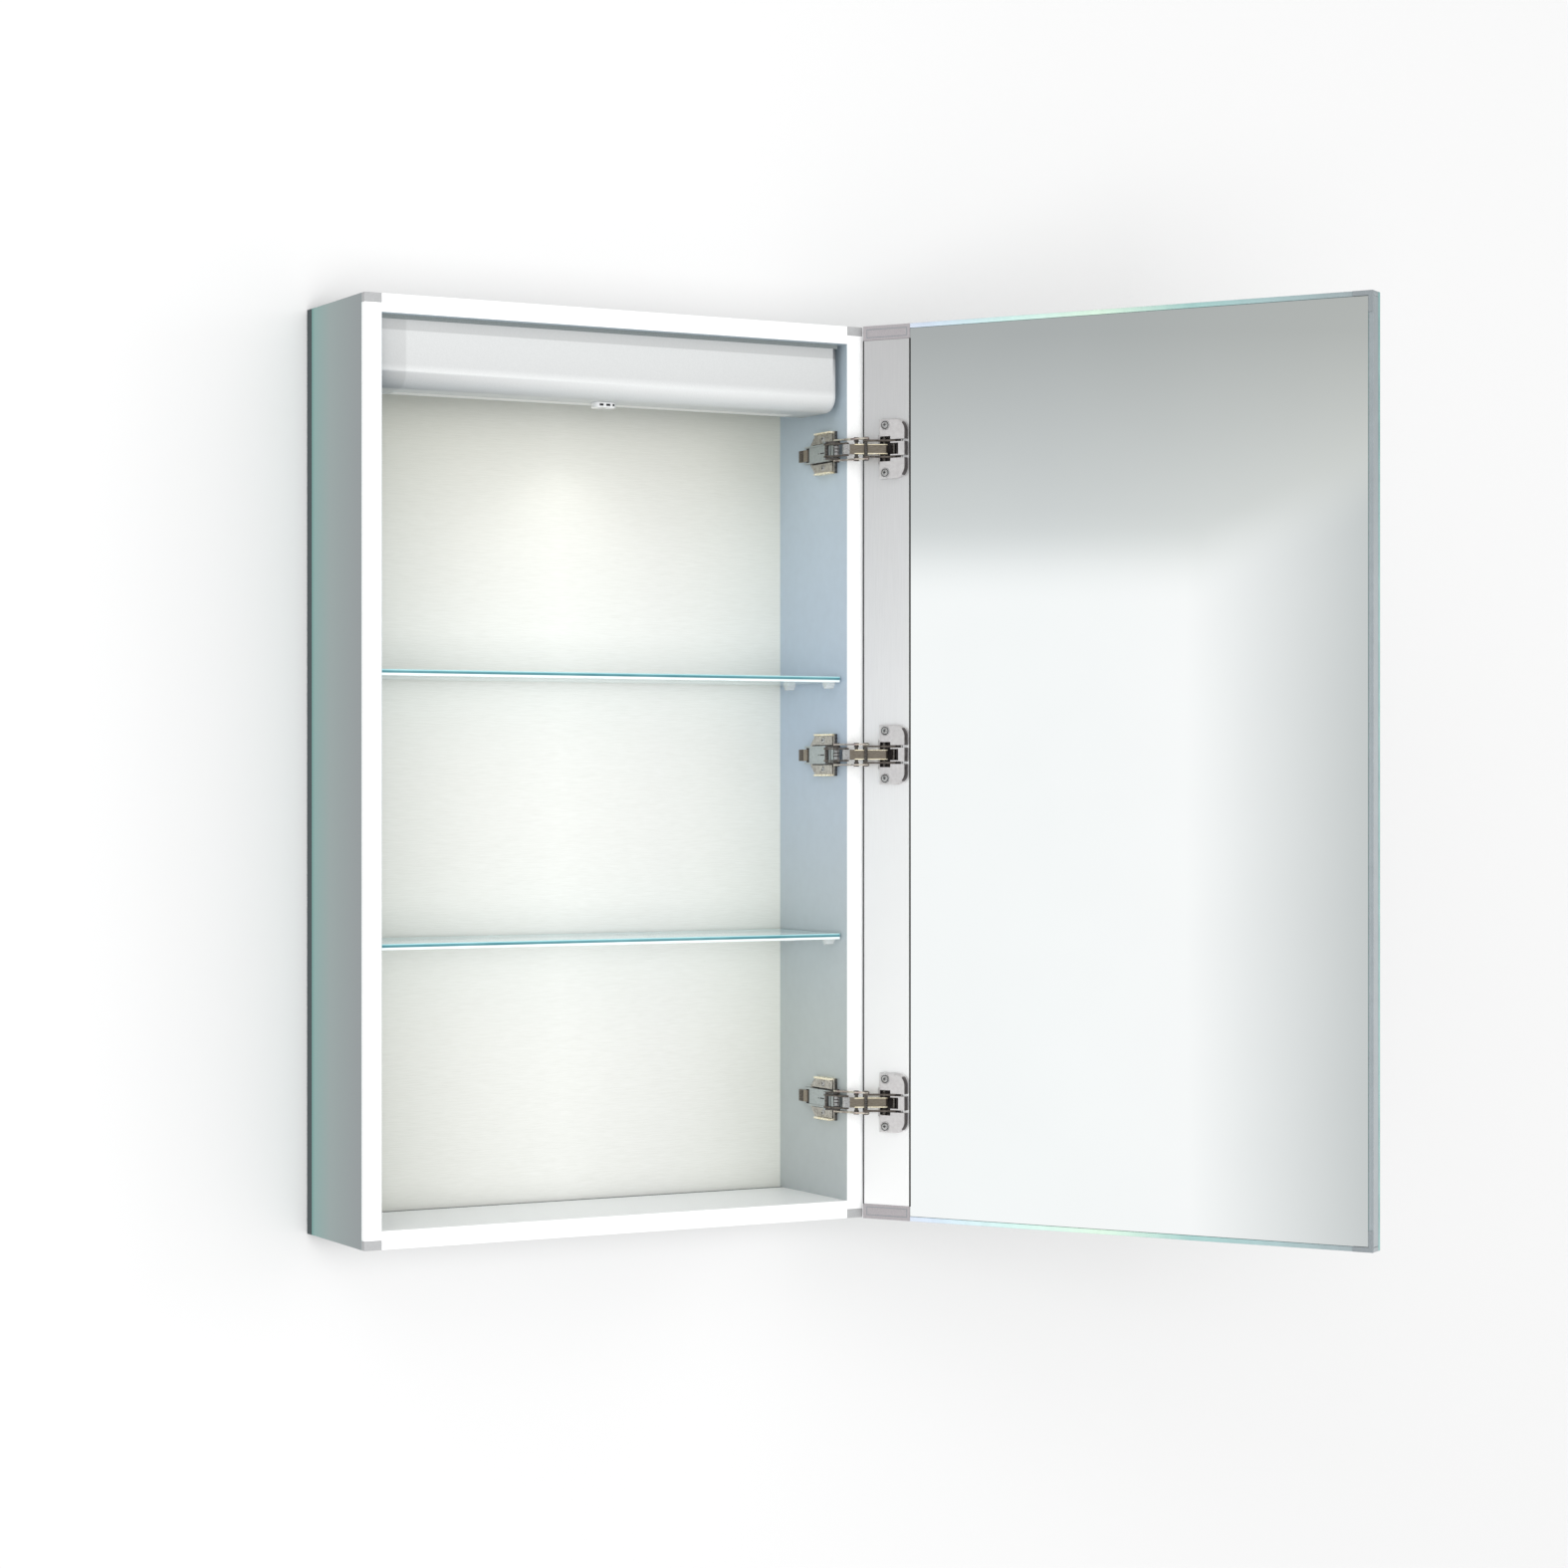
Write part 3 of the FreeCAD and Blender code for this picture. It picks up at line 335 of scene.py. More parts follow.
# %% Shelf glass
def pane_material():
    """Clear pane: see-through face on, aqua and reflecting at a low angle."""
    material, tree, shader = start_material("shelf_glass_face")
    grain = grain_of(tree, (1, 1, 1), 12.0)
    tone = ramp(tree, grain, [(0.3, (0.80, 0.97, 1.0)), (0.7, (0.87, 1.0, 1.0))])
    tree.links.new(tone, shader.inputs["Base Color"])
    facing = add(tree, "ShaderNodeLayerWeight", in_0=0.5).outputs["Facing"]
    tree.links.new(remap(tree, facing, 0.3, 1.0, 0.12, 0.92), shader.inputs["Alpha"])
    set_inputs(shader, Roughness=0.03, IOR=1.5)
    return material


shelf_face = pane_material()


def shelf_edge_highlight_material(name, shelf):
    """A cut edge: deep teal, with a painted highlight along its lower arris and a paler one at its top."""
    low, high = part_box(shelf)

    def tones(tree, grain):
        # Painted highlight: a bright band on the lower arris and a paler one at the top.
        bands = ramp(tree, along(tree, "Z", low.z, high.z), [
            (0.0, (0.93, 0.98, 0.98)), (0.36, (0.90, 0.97, 0.97)), (0.44, (0.06, 0.20, 0.24)),
            (0.72, (0.05, 0.22, 0.26)), (0.86, (0.30, 0.62, 0.66)), (1.0, (0.62, 0.86, 0.88))])
        fine = ramp(tree, grain, [(0.3, (0.0, 0.1, 0.1)), (0.7, (0.6, 0.9, 0.9))])
        return blend_colours(tree, 0.12, bands, fine)

    return finish(name, None, None, (0.08, 0.15), scale=25.0, relief=0.0, colour=tones,
                  coat=0.6)


upper_edge = shelf_edge_highlight_material("upper_shelf_edge", "upper_shelf")
lower_edge = shelf_edge_highlight_material("lower_shelf_edge", "lower_shelf")

# %% [markdown]
# ## Metals of the door and the hinges
# The hinge rail is satin aluminium drawn lengthwise, so its grain runs along Z, and it
# carries painted light: brighter low down, darker towards the top. The hinges mix pressed
# steel parts plated at different times: cool nickel on the arms, a lilac-grey zinc
# casting for the cups, warm bronze-toned bars and yellow passivated edges, which carry a
# painted highlight. Dark finishes give painted shade in the cups' bowls, on the edges and
# insides of the plates and arms, and in grooves and recesses. One recipe with other tones
# makes them all.

# %% Rail
def rail_tones_and_painted_light(tree, grain):
    low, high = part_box("rear_frame")
    fine = ramp(tree, grain, [(0.3, 0.93), (0.7, 1.0)])
    # Painted light along the rail: brighter low down, darker towards the top.
    slow = ramp(tree, along(tree, "Z", low.z, high.z), [
        (0.0, 1.16), (0.25, 1.12), (0.6, (0.96, 0.955, 0.96)), (1.0, (0.67, 0.665, 0.67))])
    return times(tree, fine, slow)


rail_metal = finish("satin_rail", None, None, (0.32, 0.44), metal=0.7,
                    stretch=(60, 60, 1), scale=40.0, relief=0.03, colour=rail_tones_and_painted_light)

# %% Plated parts of the hinges
arm_nickel = finish("cool_nickel", (0.40, 0.44, 0.45), (0.52, 0.56, 0.57), (0.30, 0.42),
                    metal=0.9, scale=500.0, relief=0.05)
wing_nickel = finish("wing_nickel", (0.34, 0.32, 0.30), (0.62, 0.59, 0.55), (0.22, 0.38),
                     metal=1.0, scale=260.0, relief=0.08)
cup_zinc = finish("lilac_zinc", (0.60, 0.58, 0.58), (0.70, 0.68, 0.68), (0.32, 0.42),
                  metal=0.55, scale=350.0, relief=0.04)
# Painted shade for the inside of the cups' bowls and their thick far edges.
cup_painted_shade = finish("cup_bowl_painted_shade", (0.10, 0.09, 0.09), (0.20, 0.18, 0.18), (0.35, 0.5),
                   metal=0.8, scale=350.0, relief=0.05)
link_nickel = finish("bright_link_nickel", (0.50, 0.36, 0.36), (0.92, 0.88, 0.74),
                     (0.18, 0.32), metal=1.0, scale=150.0, relief=0.06)
short_link_steel = finish("dark_link_steel", (0.12, 0.10, 0.09), (0.30, 0.26, 0.23),
                          (0.25, 0.4), metal=1.0, scale=300.0, relief=0.06)
bronze = finish("warm_bronze", (0.25, 0.21, 0.17), (0.38, 0.33, 0.27), (0.28, 0.4),
                metal=0.9, stretch=(1, 1, 6), scale=300.0, relief=0.06)
# Yellow passivated tone with a painted highlight, for the wing flanges and the bar rims.
gold_tone_and_highlight = finish("yellow_passivated_with_highlight", (0.86, 0.76, 0.52), (0.98, 0.93, 0.76),
                   (0.2, 0.3), metal=0.3, scale=300.0, relief=0.03)
# Dark steel of the pins and rivets, also laid as painted shade on the edges and insides of the plates and arms and
# on the tab ribs.
pin_steel_and_painted_shade = finish("turned_pin_steel_and_painted_shade", (0.10, 0.09, 0.08), (0.22, 0.20, 0.19),
                   (0.22, 0.35), metal=1.0, stretch=(1, 1, 8), scale=300.0, relief=0.04)
screw_zinc = finish("zinc_screw", (0.52, 0.51, 0.51), (0.68, 0.67, 0.67), (0.25, 0.35),
                    metal=0.9, scale=700.0, relief=0.05)
# Near black: painted shade in the gaps beside the arms, the arm grooves and the screw recesses, and the real dark
# of the rail gaskets.
shade_and_gasket_dark = finish("painted_shade_and_gasket_dark", (0.02, 0.02, 0.02), (0.045, 0.04, 0.04), (0.5, 0.6),
                     metal=0.4, scale=700.0, relief=0.05)

# %% Sensor, shelf pegs and door border
chrome = finish("sensor_chrome", (0.90, 0.91, 0.92), (0.97, 0.97, 0.97), (0.03, 0.08),
                metal=0.35, scale=200.0, relief=0.0)
support_plastic = finish("clear_support", (0.74, 0.77, 0.77), (0.82, 0.85, 0.85),
                         (0.12, 0.2), scale=300.0, coat=0.4, Alpha=0.75)


def border_reflection_material():
    """The door's polished border: a painted reflection in pastel bands that drift along its length."""
    material, tree, shader = start_material("border_painted_reflection")
    run = add(tree, "ShaderNodeAttribute", attribute_name="run")
    # Painted reflection: pastel bands from the hinge edge to the free edge.
    tone = ramp(tree, run.outputs["Fac"], [
        (0.0, (0.68, 0.66, 0.76)), (0.14, (0.62, 0.72, 0.84)), (0.30, (0.60, 0.82, 0.78)),
        (0.48, (0.66, 0.84, 0.70)), (0.66, (0.34, 0.55, 0.53)), (0.8, (0.36, 0.50, 0.51)),
        (1.0, (0.30, 0.335, 0.355))])
    fine = ramp(tree, grain_of(tree, (1, 1, 1), 90.0), [(0.3, 0.92), (0.7, 1.0)])
    tree.links.new(times(tree, tone, fine), shader.inputs["Base Color"])
    set_inputs(shader, Metallic=0.2, Roughness=0.2, Coat_Weight=0.4)
    return material


border_reflection_finish = border_reflection_material()
print(len(bpy.data.materials), "finishes")

# %% [markdown]
# ## Making a finished piece
# Sharp CAD edges look unreal, since every pressed, cut or moulded edge is slightly round
# and catches light. A CAD node's mesh is left alone. A copy of it is merged, its flat
# faces joined, its sharp edges rounded with a small bevel, and the copy stands for the
# node. A Bevel modifier would do as well, but one pass in bmesh keeps the meshes plain.

# %% Helpers for pieces
ROUNDING_ANGLE = math.radians(32)
JOINING_ANGLE = math.radians(0.6)
SHARP_ANGLE = math.radians(50)
SAME_POINT = 2e-6
FACING = 0.9


def soften(bm, width, steps=2):
    """Rounds every sharp edge of a closed solid."""
    bm.normal_update()
    sharp = [edge for edge in bm.edges
             if len(edge.link_faces) == 2 and edge.calc_face_angle() > ROUNDING_ANGLE]
    bmesh.ops.bevel(bm, geom=sharp, offset=width, offset_type="OFFSET", segments=steps,
                    profile=0.5, affect="EDGES", clamp_overlap=True)


def shade(mesh):
    """Smooth over the small bevels, sharp at real corners."""
    mesh.shade_smooth()
    mesh.set_sharp_from_angle(angle=SHARP_ANGLE)


def place_piece(piece, body, nodes=()):
    """Even shading, then the body that the piece rides on; the nodes that it stands for are hidden."""
    shade(piece.data)
    even = piece.modifiers.new("even_shading", "WEIGHTED_NORMAL")
    even.keep_sharp = True
    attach(piece, body)
    if nodes:
        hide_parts(*nodes)
    print(f"{piece.name}: {len(piece.data.polygons)} faces, rides on {body}")
    return piece


def new_object(name, bm, *materials):
    """A linked object from a bmesh, faces outward."""
    bmesh.ops.recalc_face_normals(bm, faces=bm.faces)
    mesh = bpy.data.meshes.new(name)
    bm.to_mesh(mesh)
    bm.free()
    for material in materials:
        mesh.materials.append(material)
    return linked(name, mesh)


def copy_of(node):
    """A merged copy of a CAD node's mesh, with its flat faces whole."""
    bm = bmesh.new()
    bm.from_mesh(frame["nodes"][node].data)
    for face in bm.faces:
        face.material_index = 0
    bmesh.ops.remove_doubles(bm, verts=bm.verts, dist=SAME_POINT)
    bmesh.ops.dissolve_limit(bm, angle_limit=JOINING_ANGLE, verts=bm.verts,
                             edges=bm.edges)
    return bm


def refine(node, name, material, width=0.4, others=(), paint=None):
    """The finished piece for a CAD node: rounded edges and its own finish."""
    bm = copy_of(node)
    if width:
        soften(bm, width * MM)
    if paint:
        bm.normal_update()
        for face in bm.faces:
            face.material_index = paint(face)
    piece = new_object(name, bm, material, *others)
    return place_piece(piece, BODY_OF[node], [node])

# %% [markdown]
# ## The box
# Two hollow side profiles with white stiles carry the top and bottom panels, and plastic
# caps close their ends. Each outer side is a strip of mirror glass let into the profile,
# silver on its face and green on its cut edges. Behind all of it the dark rear frame
# stands against the wall.

# %% Box, caps and rear frame
for side in ("left", "right"):
    refine(f"{side}_side_panel", f"{side}_side_profile", white_coat, 0.5)
for level in ("top", "bottom"):
    refine(f"{level}_panel", f"{level}_profile", white_coat, 0.5)
    for side in ("left", "right"):
        refine(f"corner_cap_{level}_{side}", f"end_cap_{level}_{side}", cap_plastic, 0.5)
refine("rear_frame", "rear_tray", rear_paint, 0.6)
refine("back_panel", "back_liner", liner_metal, 0.0)
refine("cable_grommet", "cable_bush", grommet_rubber, 0.3)

# %% Mirror glass in the outer sides
def toward(direction):
    """0 for the faces that look in a direction, 1 for the cut edges."""
    return lambda face: 0 if face.normal.dot(direction) > FACING else 1


for side, sign in (("left", -1), ("right", 1)):
    refine(f"{side}_side_mirror", f"{side}_side_glass", side_silver, 0.3, (glass_edge,),
           toward(Vector((sign, 0, 0))))

# %% [markdown]
# ## Wall linings
# A thin blue-grey sheet lines both side walls and the underside of the top panel, right
# up to the front edge. The CAD wall is one white profile, so each sheet is a separate thin
# plate laid on it, with its front edge rounded over.

# %% Linings on the inner walls
SHEET, SHEET_ROUND, FRONT_STEP = 0.3 * MM, 0.1 * MM, 0.6 * MM


def block(bm, low, high):
    """Adds a box between two corners."""
    corners = [bm.verts.new((x, y, z)) for x in (low[0], high[0])
               for y in (low[1], high[1]) for z in (low[2], high[2])]
    for quad in ((0, 1, 3, 2), (4, 6, 7, 5), (0, 4, 5, 1), (2, 3, 7, 6), (0, 2, 6, 4),
                 (1, 5, 7, 3)):
        bm.faces.new([corners[i] for i in quad])
    return bm


LINING_FRONT = FRONT_Y * MM + FRONT_STEP
inner_x = WALL_X * MM
inner_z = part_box("top_panel")[0].z
liner_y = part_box("back_panel")[0].y
for name, low, high in (
        ("right_wall_lining", (inner_x - SHEET, LINING_FRONT, -inner_z),
         (inner_x, liner_y, inner_z)),
        ("left_wall_lining", (-inner_x, LINING_FRONT, -inner_z),
         (-inner_x + SHEET, liner_y, inner_z)),
        ("top_lining", (-inner_x, LINING_FRONT, inner_z - SHEET),
         (inner_x, liner_y, inner_z))):
    bm = block(bmesh.new(), low, high)
    soften(bm, SHEET_ROUND, 1)
    place_piece(new_object(name, bm, wall_lining), "cabinet")

# %% [markdown]
# ## Light housing and sensor
# A painted shell with a rounded lower front edge spans the top of the cabinet. Under it
# sit the opal light strip and a small chrome motion sensor. A grey block in the gap above
# its front is painted shade for that gap, and as only its front line shows, a plain block
# will do.

# %% Housing and what it holds
refine("light_housing", "housing_shell", housing_paint, 0.0)
refine("light_diffuser", "opal_strip", opal, 0.0)
refine("led_board", "light_board", board_paint, 0.0)
refine("led_driver", "driver_case", inner_plastic, 1.0)
refine("terminal_block", "terminal_case", inner_plastic, 0.6)
refine("housing_bracket", "hanging_strip", screw_zinc, 0.2)

# %% Grey block of painted shade in the gap, and sensor
SHADE_END, SHADE_FRONT, SHADE_REAR, SHADE_PLAY = 0.1 * MM, 0.6 * MM, 1.9 * MM, 0.05 * MM
shell_low, shell_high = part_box("light_housing")
gap_shade_block = block(bmesh.new(), (shell_low.x + SHADE_END, shell_low.y + SHADE_FRONT,
                           shell_high.z + SHADE_PLAY),
             (shell_high.x - SHADE_END, shell_low.y + SHADE_REAR, inner_z - SHADE_PLAY))
place_piece(new_object("housing_seal", gap_shade_block, gap_shade_finish), "cabinet")
refine("sensor_bezel", "sensor_frame", chrome, 0.4)
refine("sensor_window", "sensor_lens", sensor_lens, 0.5)

# %% [markdown]
# ## Glass shelves
# Each shelf is a clear pane with polished edges, resting on four pegged supports. Its
# faces and its edges look quite different, so they are two finishes on one mesh.

# %% Shelves and supports
for name, edge in (("upper", upper_edge), ("lower", lower_edge)):
    refine(f"{name}_shelf", f"{name}_glass_shelf", shelf_face, 0.3, (edge,),
           lambda face: 0 if abs(face.normal.z) > FACING else 1)
    refine(f"{name}_shelf_supports", f"{name}_shelf_pegs", support_plastic, 0.3)

# %% [markdown]
# ## The door
# Two mirrors stand back to back with a core between them, framed by a polished border on
# three sides and by the hinge rail on the fourth. The border's colour is a painted
# reflection that drifts along its length, so each point carries a number, run, from the
# hinge edge to the free edge, and the finish reads it.

# %% Door panels and border
door_out = OPENED.to_3x3() @ Vector((0, -1, 0))
refine("door_front_mirror", "outer_mirror", silver, 0.4, (glass_edge,), toward(door_out))
refine("door_inner_mirror", "inner_mirror", silver, 0.3, (glass_edge,), toward(-door_out))
refine("door_core", "door_filler", inner_plastic, 0.3)
closed_again = OPENED.inverted()
door_width = 2 * abs(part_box("rear_frame")[0].x)
for node, name in (("door_top_trim", "border_top"), ("door_bottom_trim", "border_bottom"),
                   ("door_edge_trim", "border_free_edge")):
    piece = refine(node, name, border_reflection_finish, 0.5)
    run = piece.data.attributes.new("run", "FLOAT", "POINT")
    run.data.foreach_set("value", [
        0.5 - (closed_again @ vert.co).x / door_width for vert in piece.data.vertices])
refine("hinge_rail", "satin_hinge_rail", rail_metal, 0.4)
refine("rail_cap_top", "rail_end_top", rail_cap_plastic, 0.5)
refine("rail_cap_bottom", "rail_end_bottom", rail_cap_plastic, 0.5)
refine("corner_clips", "mirror_corner_clips", clip_plastic, 0.25)

# %% [markdown]
# ## Copies at places
# Screws, rivet heads, ribs and hinge trims repeat, so one node group makes them all. It
# takes a part and a second object whose points are the places, puts a copy of the part
# on each point, and turns the copies into real mesh with a finish. The result is read
# back as a plain mesh, and the part and its points are thrown away.

# %% The node group
def copies_group():
    group = bpy.data.node_groups.new("copies at places", "GeometryNodeTree")
    for label, kind in (("Part", "Geometry"), ("Places", "Object"), ("Finish", "Material")):
        group.interface.new_socket(label, in_out="INPUT", socket_type="NodeSocket" + kind)
    group.interface.new_socket("Copies", in_out="OUTPUT",
                               socket_type="NodeSocketGeometry")
    given = group.nodes.new("NodeGroupInput")
    info = add(group, "GeometryNodeObjectInfo", ("Object", given.outputs["Places"]))
    spots = add(group, "GeometryNodeMeshToPoints", (0, info.outputs["Geometry"]))
    copies = add(group, "GeometryNodeInstanceOnPoints", ("Points", spots.outputs[0]),
                 ("Instance", given.outputs["Part"]))
    solid = add(group, "GeometryNodeRealizeInstances", (0, copies.outputs[0]))
    coated = add(group, "GeometryNodeSetMaterial", (0, solid.outputs[0]),
                 ("Material", given.outputs["Finish"]))
    add(group, "NodeGroupOutput", (0, coated.outputs[0]))
    return group


COPIES = copies_group()
INPUT_ID = {item.name: item.identifier for item in COPIES.interface.items_tree
            if item.in_out == "INPUT"}


def copied(name, part, places, material, body, nodes=(), turn=None):
    """One plain mesh with a copy of a part, drawn in millimetres, at every place."""
    part.transform(Matrix.Scale(MM, 4))
    if turn:
        part.transform(turn)
    pattern = new_object(name + "_pattern", part)
    marks = bmesh.new()
    for place in places:
        marks.verts.new(place)
    spots = new_object(name + "_places", marks)
    maker = pattern.modifiers.new("copies", "NODES")
    maker.node_group = COPIES
    maker[INPUT_ID["Places"]] = spots
    maker[INPUT_ID["Finish"]] = material
    graph = bpy.context.evaluated_depsgraph_get()
    mesh = bpy.data.meshes.new_from_object(pattern.evaluated_get(graph))
    pattern.modifiers.remove(maker)
    bpy.data.objects.remove(pattern)
    bpy.data.objects.remove(spots)
    print(len(places), "copies of one part:")
    return place_piece(linked(name, mesh), body, nodes)


def at_hinges(name, part, material, body="cabinet"):
    """A copy of a part on each of the three hinges."""
    return copied(name, part, [(0, 0, height) for height in HEIGHTS], material, body)


# %% [markdown]
# ## Solids from an outline
# Small metal parts are sheet cut to an outline, or bar turned on a lathe. So prism pushes
# an outline through a thickness and turned spins a profile about Z, both in millimetres.

# %% Straight and turned solids, in millimetres
AXES = {"XY": (0, 1, 2), "YZ": (1, 2, 0), "XZ": (0, 2, 1)}


def join_rings(bm, one, two):
    """Faces between two rings of points, either of which may be a single point."""
    count = max(len(one), len(two))
    for i in range(count):
        following = (i + 1) % count
        corners = [one[i % len(one)], one[following % len(one)],
                   two[following % len(two)], two[i % len(two)]]
        bm.faces.new(list(dict.fromkeys(corners)))


def prism(bm, outline, low, high, plane="XY"):
    """A straight-sided solid: an outline in a plane, from one height to another."""
    rings = []
    for level in (low, high):
        ring = []
        for across, along_plane in outline:
            point = [0, 0, 0]
            for axis, value in zip(AXES[plane], (across, along_plane, level)):
                point[axis] = value
            ring.append(bm.verts.new(point))
        rings.append(ring)
    bm.faces.new(rings[0])
    bm.faces.new(rings[1])
    join_rings(bm, *rings)
    return bm


def box_outline(left, low, right, high):
    """A rectangle's corners."""
    return [(left, low), (right, low), (right, high), (left, high)]


def disc(centre, radius, steps=20):
    """A circle of points."""
    return [(centre[0] + radius * math.cos(2 * math.pi * i / steps),
             centre[1] + radius * math.sin(2 * math.pi * i / steps)) for i in range(steps)]


def capsule(start, end, radius, steps=10):
    """A round-ended strip between two points of the plan."""
    angle = math.atan2(end[1] - start[1], end[0] - start[0])
    points = []
    for centre, first in ((start, angle + math.pi / 2), (end, angle - math.pi / 2)):
        for i in range(steps + 1):
            turn = first + math.pi * i / steps
            points.append((centre[0] + radius * math.cos(turn),
                           centre[1] + radius * math.sin(turn)))
    return points


def turned(bm, profile, steps=20):
    """A solid of revolution about Z from (radius, height) points that start and end on it."""
    rings = []
    for radius, height in profile:
        if radius == 0:
            rings.append([bm.verts.new((0, 0, height))])
        else:
            rings.append([bm.verts.new((x, y, height)) for x, y in disc((0, 0), radius, steps)])
    for one, two in zip(rings, rings[1:]):
        join_rings(bm, one, two)
    return bm


def mirrored_prisms(outline, low, high, width=0.25):
    """The same plan above and below the hinge's middle, edges rounded."""
    bm = bmesh.new()
    prism(bm, outline, low, high)
    prism(bm, outline, -high, -low)
    soften(bm, width)
    return bm

# %% [markdown]
# ## Hinge bodies
# Three equal hinges hold the door. Their plates, arms and links keep the CAD shapes, with
# rounded edges and a finish for each plating. The cup is cast zinc: its sunk bowl and the
# thick edge towards the mirror get painted shade, so faces are sorted by where they are.

# %% Plates, arms and tabs
PRESSED_FACING = 0.75


def pressed_face(face):
    """0 for the broad faces away from the wall, 1 for edges and insides, which get painted shade."""
    return 0 if face.normal.x < -PRESSED_FACING else 1


# The plates' and arms' edges and insides take the dark pin steel as painted shade.
for name in HINGE_NAMES:
    refine(f"mounting_plate_{name}", f"wing_plate_{name}", wing_nickel, 0.4, (pin_steel_and_painted_shade,),
           pressed_face)
    refine(f"hinge_arm_{name}", f"channel_arm_{name}", arm_nickel, 0.4, (pin_steel_and_painted_shade,),
           pressed_face)
    refine(f"release_lever_{name}", f"release_tab_{name}", bronze, 0.25)

# %% Cups
GLASS_HALF, SUNK, CUP_REACH, TURNED_AWAY = 1.5, 0.3, 40, 0.35
DOOR_FACE = (closed_again @ middle("door_inner_mirror")).y / MM + GLASS_HALF
DOOR_EDGE = door_width / MM / 2
back_to_closed = closed_again.to_3x3()


def cup_face(face):
    """1 for the bowl's inside and the thick far edge, which get painted shade, 0 for the rest."""
    centre = closed_again @ face.calc_center_median()
    normal = back_to_closed @ face.normal
    sunk = centre.y / MM < DOOR_FACE - SUNK
    far_edge = normal.x < -TURNED_AWAY and centre.x / MM < DOOR_EDGE - CUP_REACH
    return 1 if sunk or far_edge else 0


for name in HINGE_NAMES:
    refine(f"hinge_cup_{name}", f"cast_cup_{name}", cup_zinc, 0.25, (cup_painted_shade,), cup_face)

# %% Links and rivets
refine("side_links", "outer_links", link_nickel, 0.2)
refine("central_bars", "hinge_bars", bronze, 0.3)
refine("arm_short_links", "arm_inner_links", short_link_steel, 0.15)
refine("cup_short_links", "cup_inner_links", short_link_steel, 0.15)
for node, name in (("arm_pins", "arm_rivets"), ("cup_pins", "cup_rivets"),
                   ("side_link_pins", "link_rivets"), ("bar_pins", "bar_rivets")):
    refine(node, name, pin_steel_and_painted_shade, 0.25)

# %% [markdown]
# ## Hinge trims
# The eye reads a hinge by its small parts. The wings have flanges with a painted highlight
# over a yellow passivated tone and pressed pads, and a dark strip of painted shade parts
# them from the arm. The arm has grooves darkened with painted shade, a bridge and
# knuckles round its pin. The bar has bright rims, a painted highlight, and a collar, and
# the outer links have rivet heads. Each is drawn once, at the hinge's middle height, and
# copied to the three heights. Ribs are copied along each release tab, because every tab
# moves on its own.

# %% Flanges, pads and gaps of the wings
plate_low, plate_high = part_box("mounting_plate_top")
PLATE_FRONT, PLATE_REAR = plate_low.y / MM, plate_high.y / MM
PLATE_HALF = (plate_high.z - plate_low.z) / MM / 2
PLATE_FACE, ARM_FACE = WALL_X - 3.0, WALL_X - 6.0
FLANGE_FRONT, FLANGE_REAR = PLATE_FRONT + 3.0, PLATE_REAR - 12.0
SHEET_INSIDE, SHEET_OUTSIDE, LAP = 1.4, 0.15, 0.3
SEATED = 0.2

flanges = mirrored_prisms(box_outline(ARM_FACE - 2 * LAP, FLANGE_FRONT - LAP, WALL_X - 0.1,
                                      FLANGE_REAR + LAP), PLATE_HALF - SHEET_INSIDE,
                          PLATE_HALF + SHEET_OUTSIDE, width=0.35)
# The flanges' bright yellow is a painted highlight over their yellow tone.
at_hinges("wing_flanges", flanges, gold_tone_and_highlight)

pad_inside, pad_outside, pad_rise = 9.0, 15.8, 0.7
pads = bmesh.new()
for sign in (1, -1):
    near, far = sign * pad_inside, sign * pad_outside
    prism(pads, [(FLANGE_FRONT, near), (FLANGE_REAR + 7.0, near), (FLANGE_REAR + 0.5, far),
                 (FLANGE_FRONT, far)], PLATE_FACE - pad_rise, PLATE_FACE + SEATED, "YZ")
soften(pads, 0.3)
at_hinges("wing_pads", pads, wing_nickel)

gap_inside, gap_outside, gap_rise = 7.75, 8.7, 0.4
gaps = bmesh.new()
for sign in (1, -1):
    prism(gaps, box_outline(FLANGE_FRONT - 1.0, sign * gap_inside, PLATE_REAR - 4.0,
                            sign * gap_outside),
          PLATE_FACE - gap_rise, PLATE_FACE + SEATED, "YZ")
# Painted shade: thin dark strips in the gaps between the wings and the arm.
at_hinges("arm_shadow_gaps", gaps, shade_and_gasket_dark)

# %% Grooves, bridges and knuckles of the arms
arm_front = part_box("hinge_arm_top")[0].y / MM
arm_main, arm_short = pin("side_link_turn"), pin("arm_short_link_turn")
MOUTH_HALF, GROOVE_HALF, GROOVE_REACH, KNUCKLE = 4.3, 0.45, 6.4, 2.6

groove_middle = (arm_front + 2.0 + PLATE_REAR) / 2
grooves = prism(bmesh.new(), capsule((groove_middle - 5, 0), (groove_middle + 4, 0), 0.5),
                ARM_FACE - 0.08, ARM_FACE + 0.1, "YZ")
for across in (PLATE_REAR - 2.2, PLATE_FRONT + 1.0):
    prism(grooves, box_outline(across - GROOVE_HALF, -GROOVE_REACH, across + GROOVE_HALF,
                               GROOVE_REACH), ARM_FACE - 0.1, ARM_FACE + 0.1, "YZ")
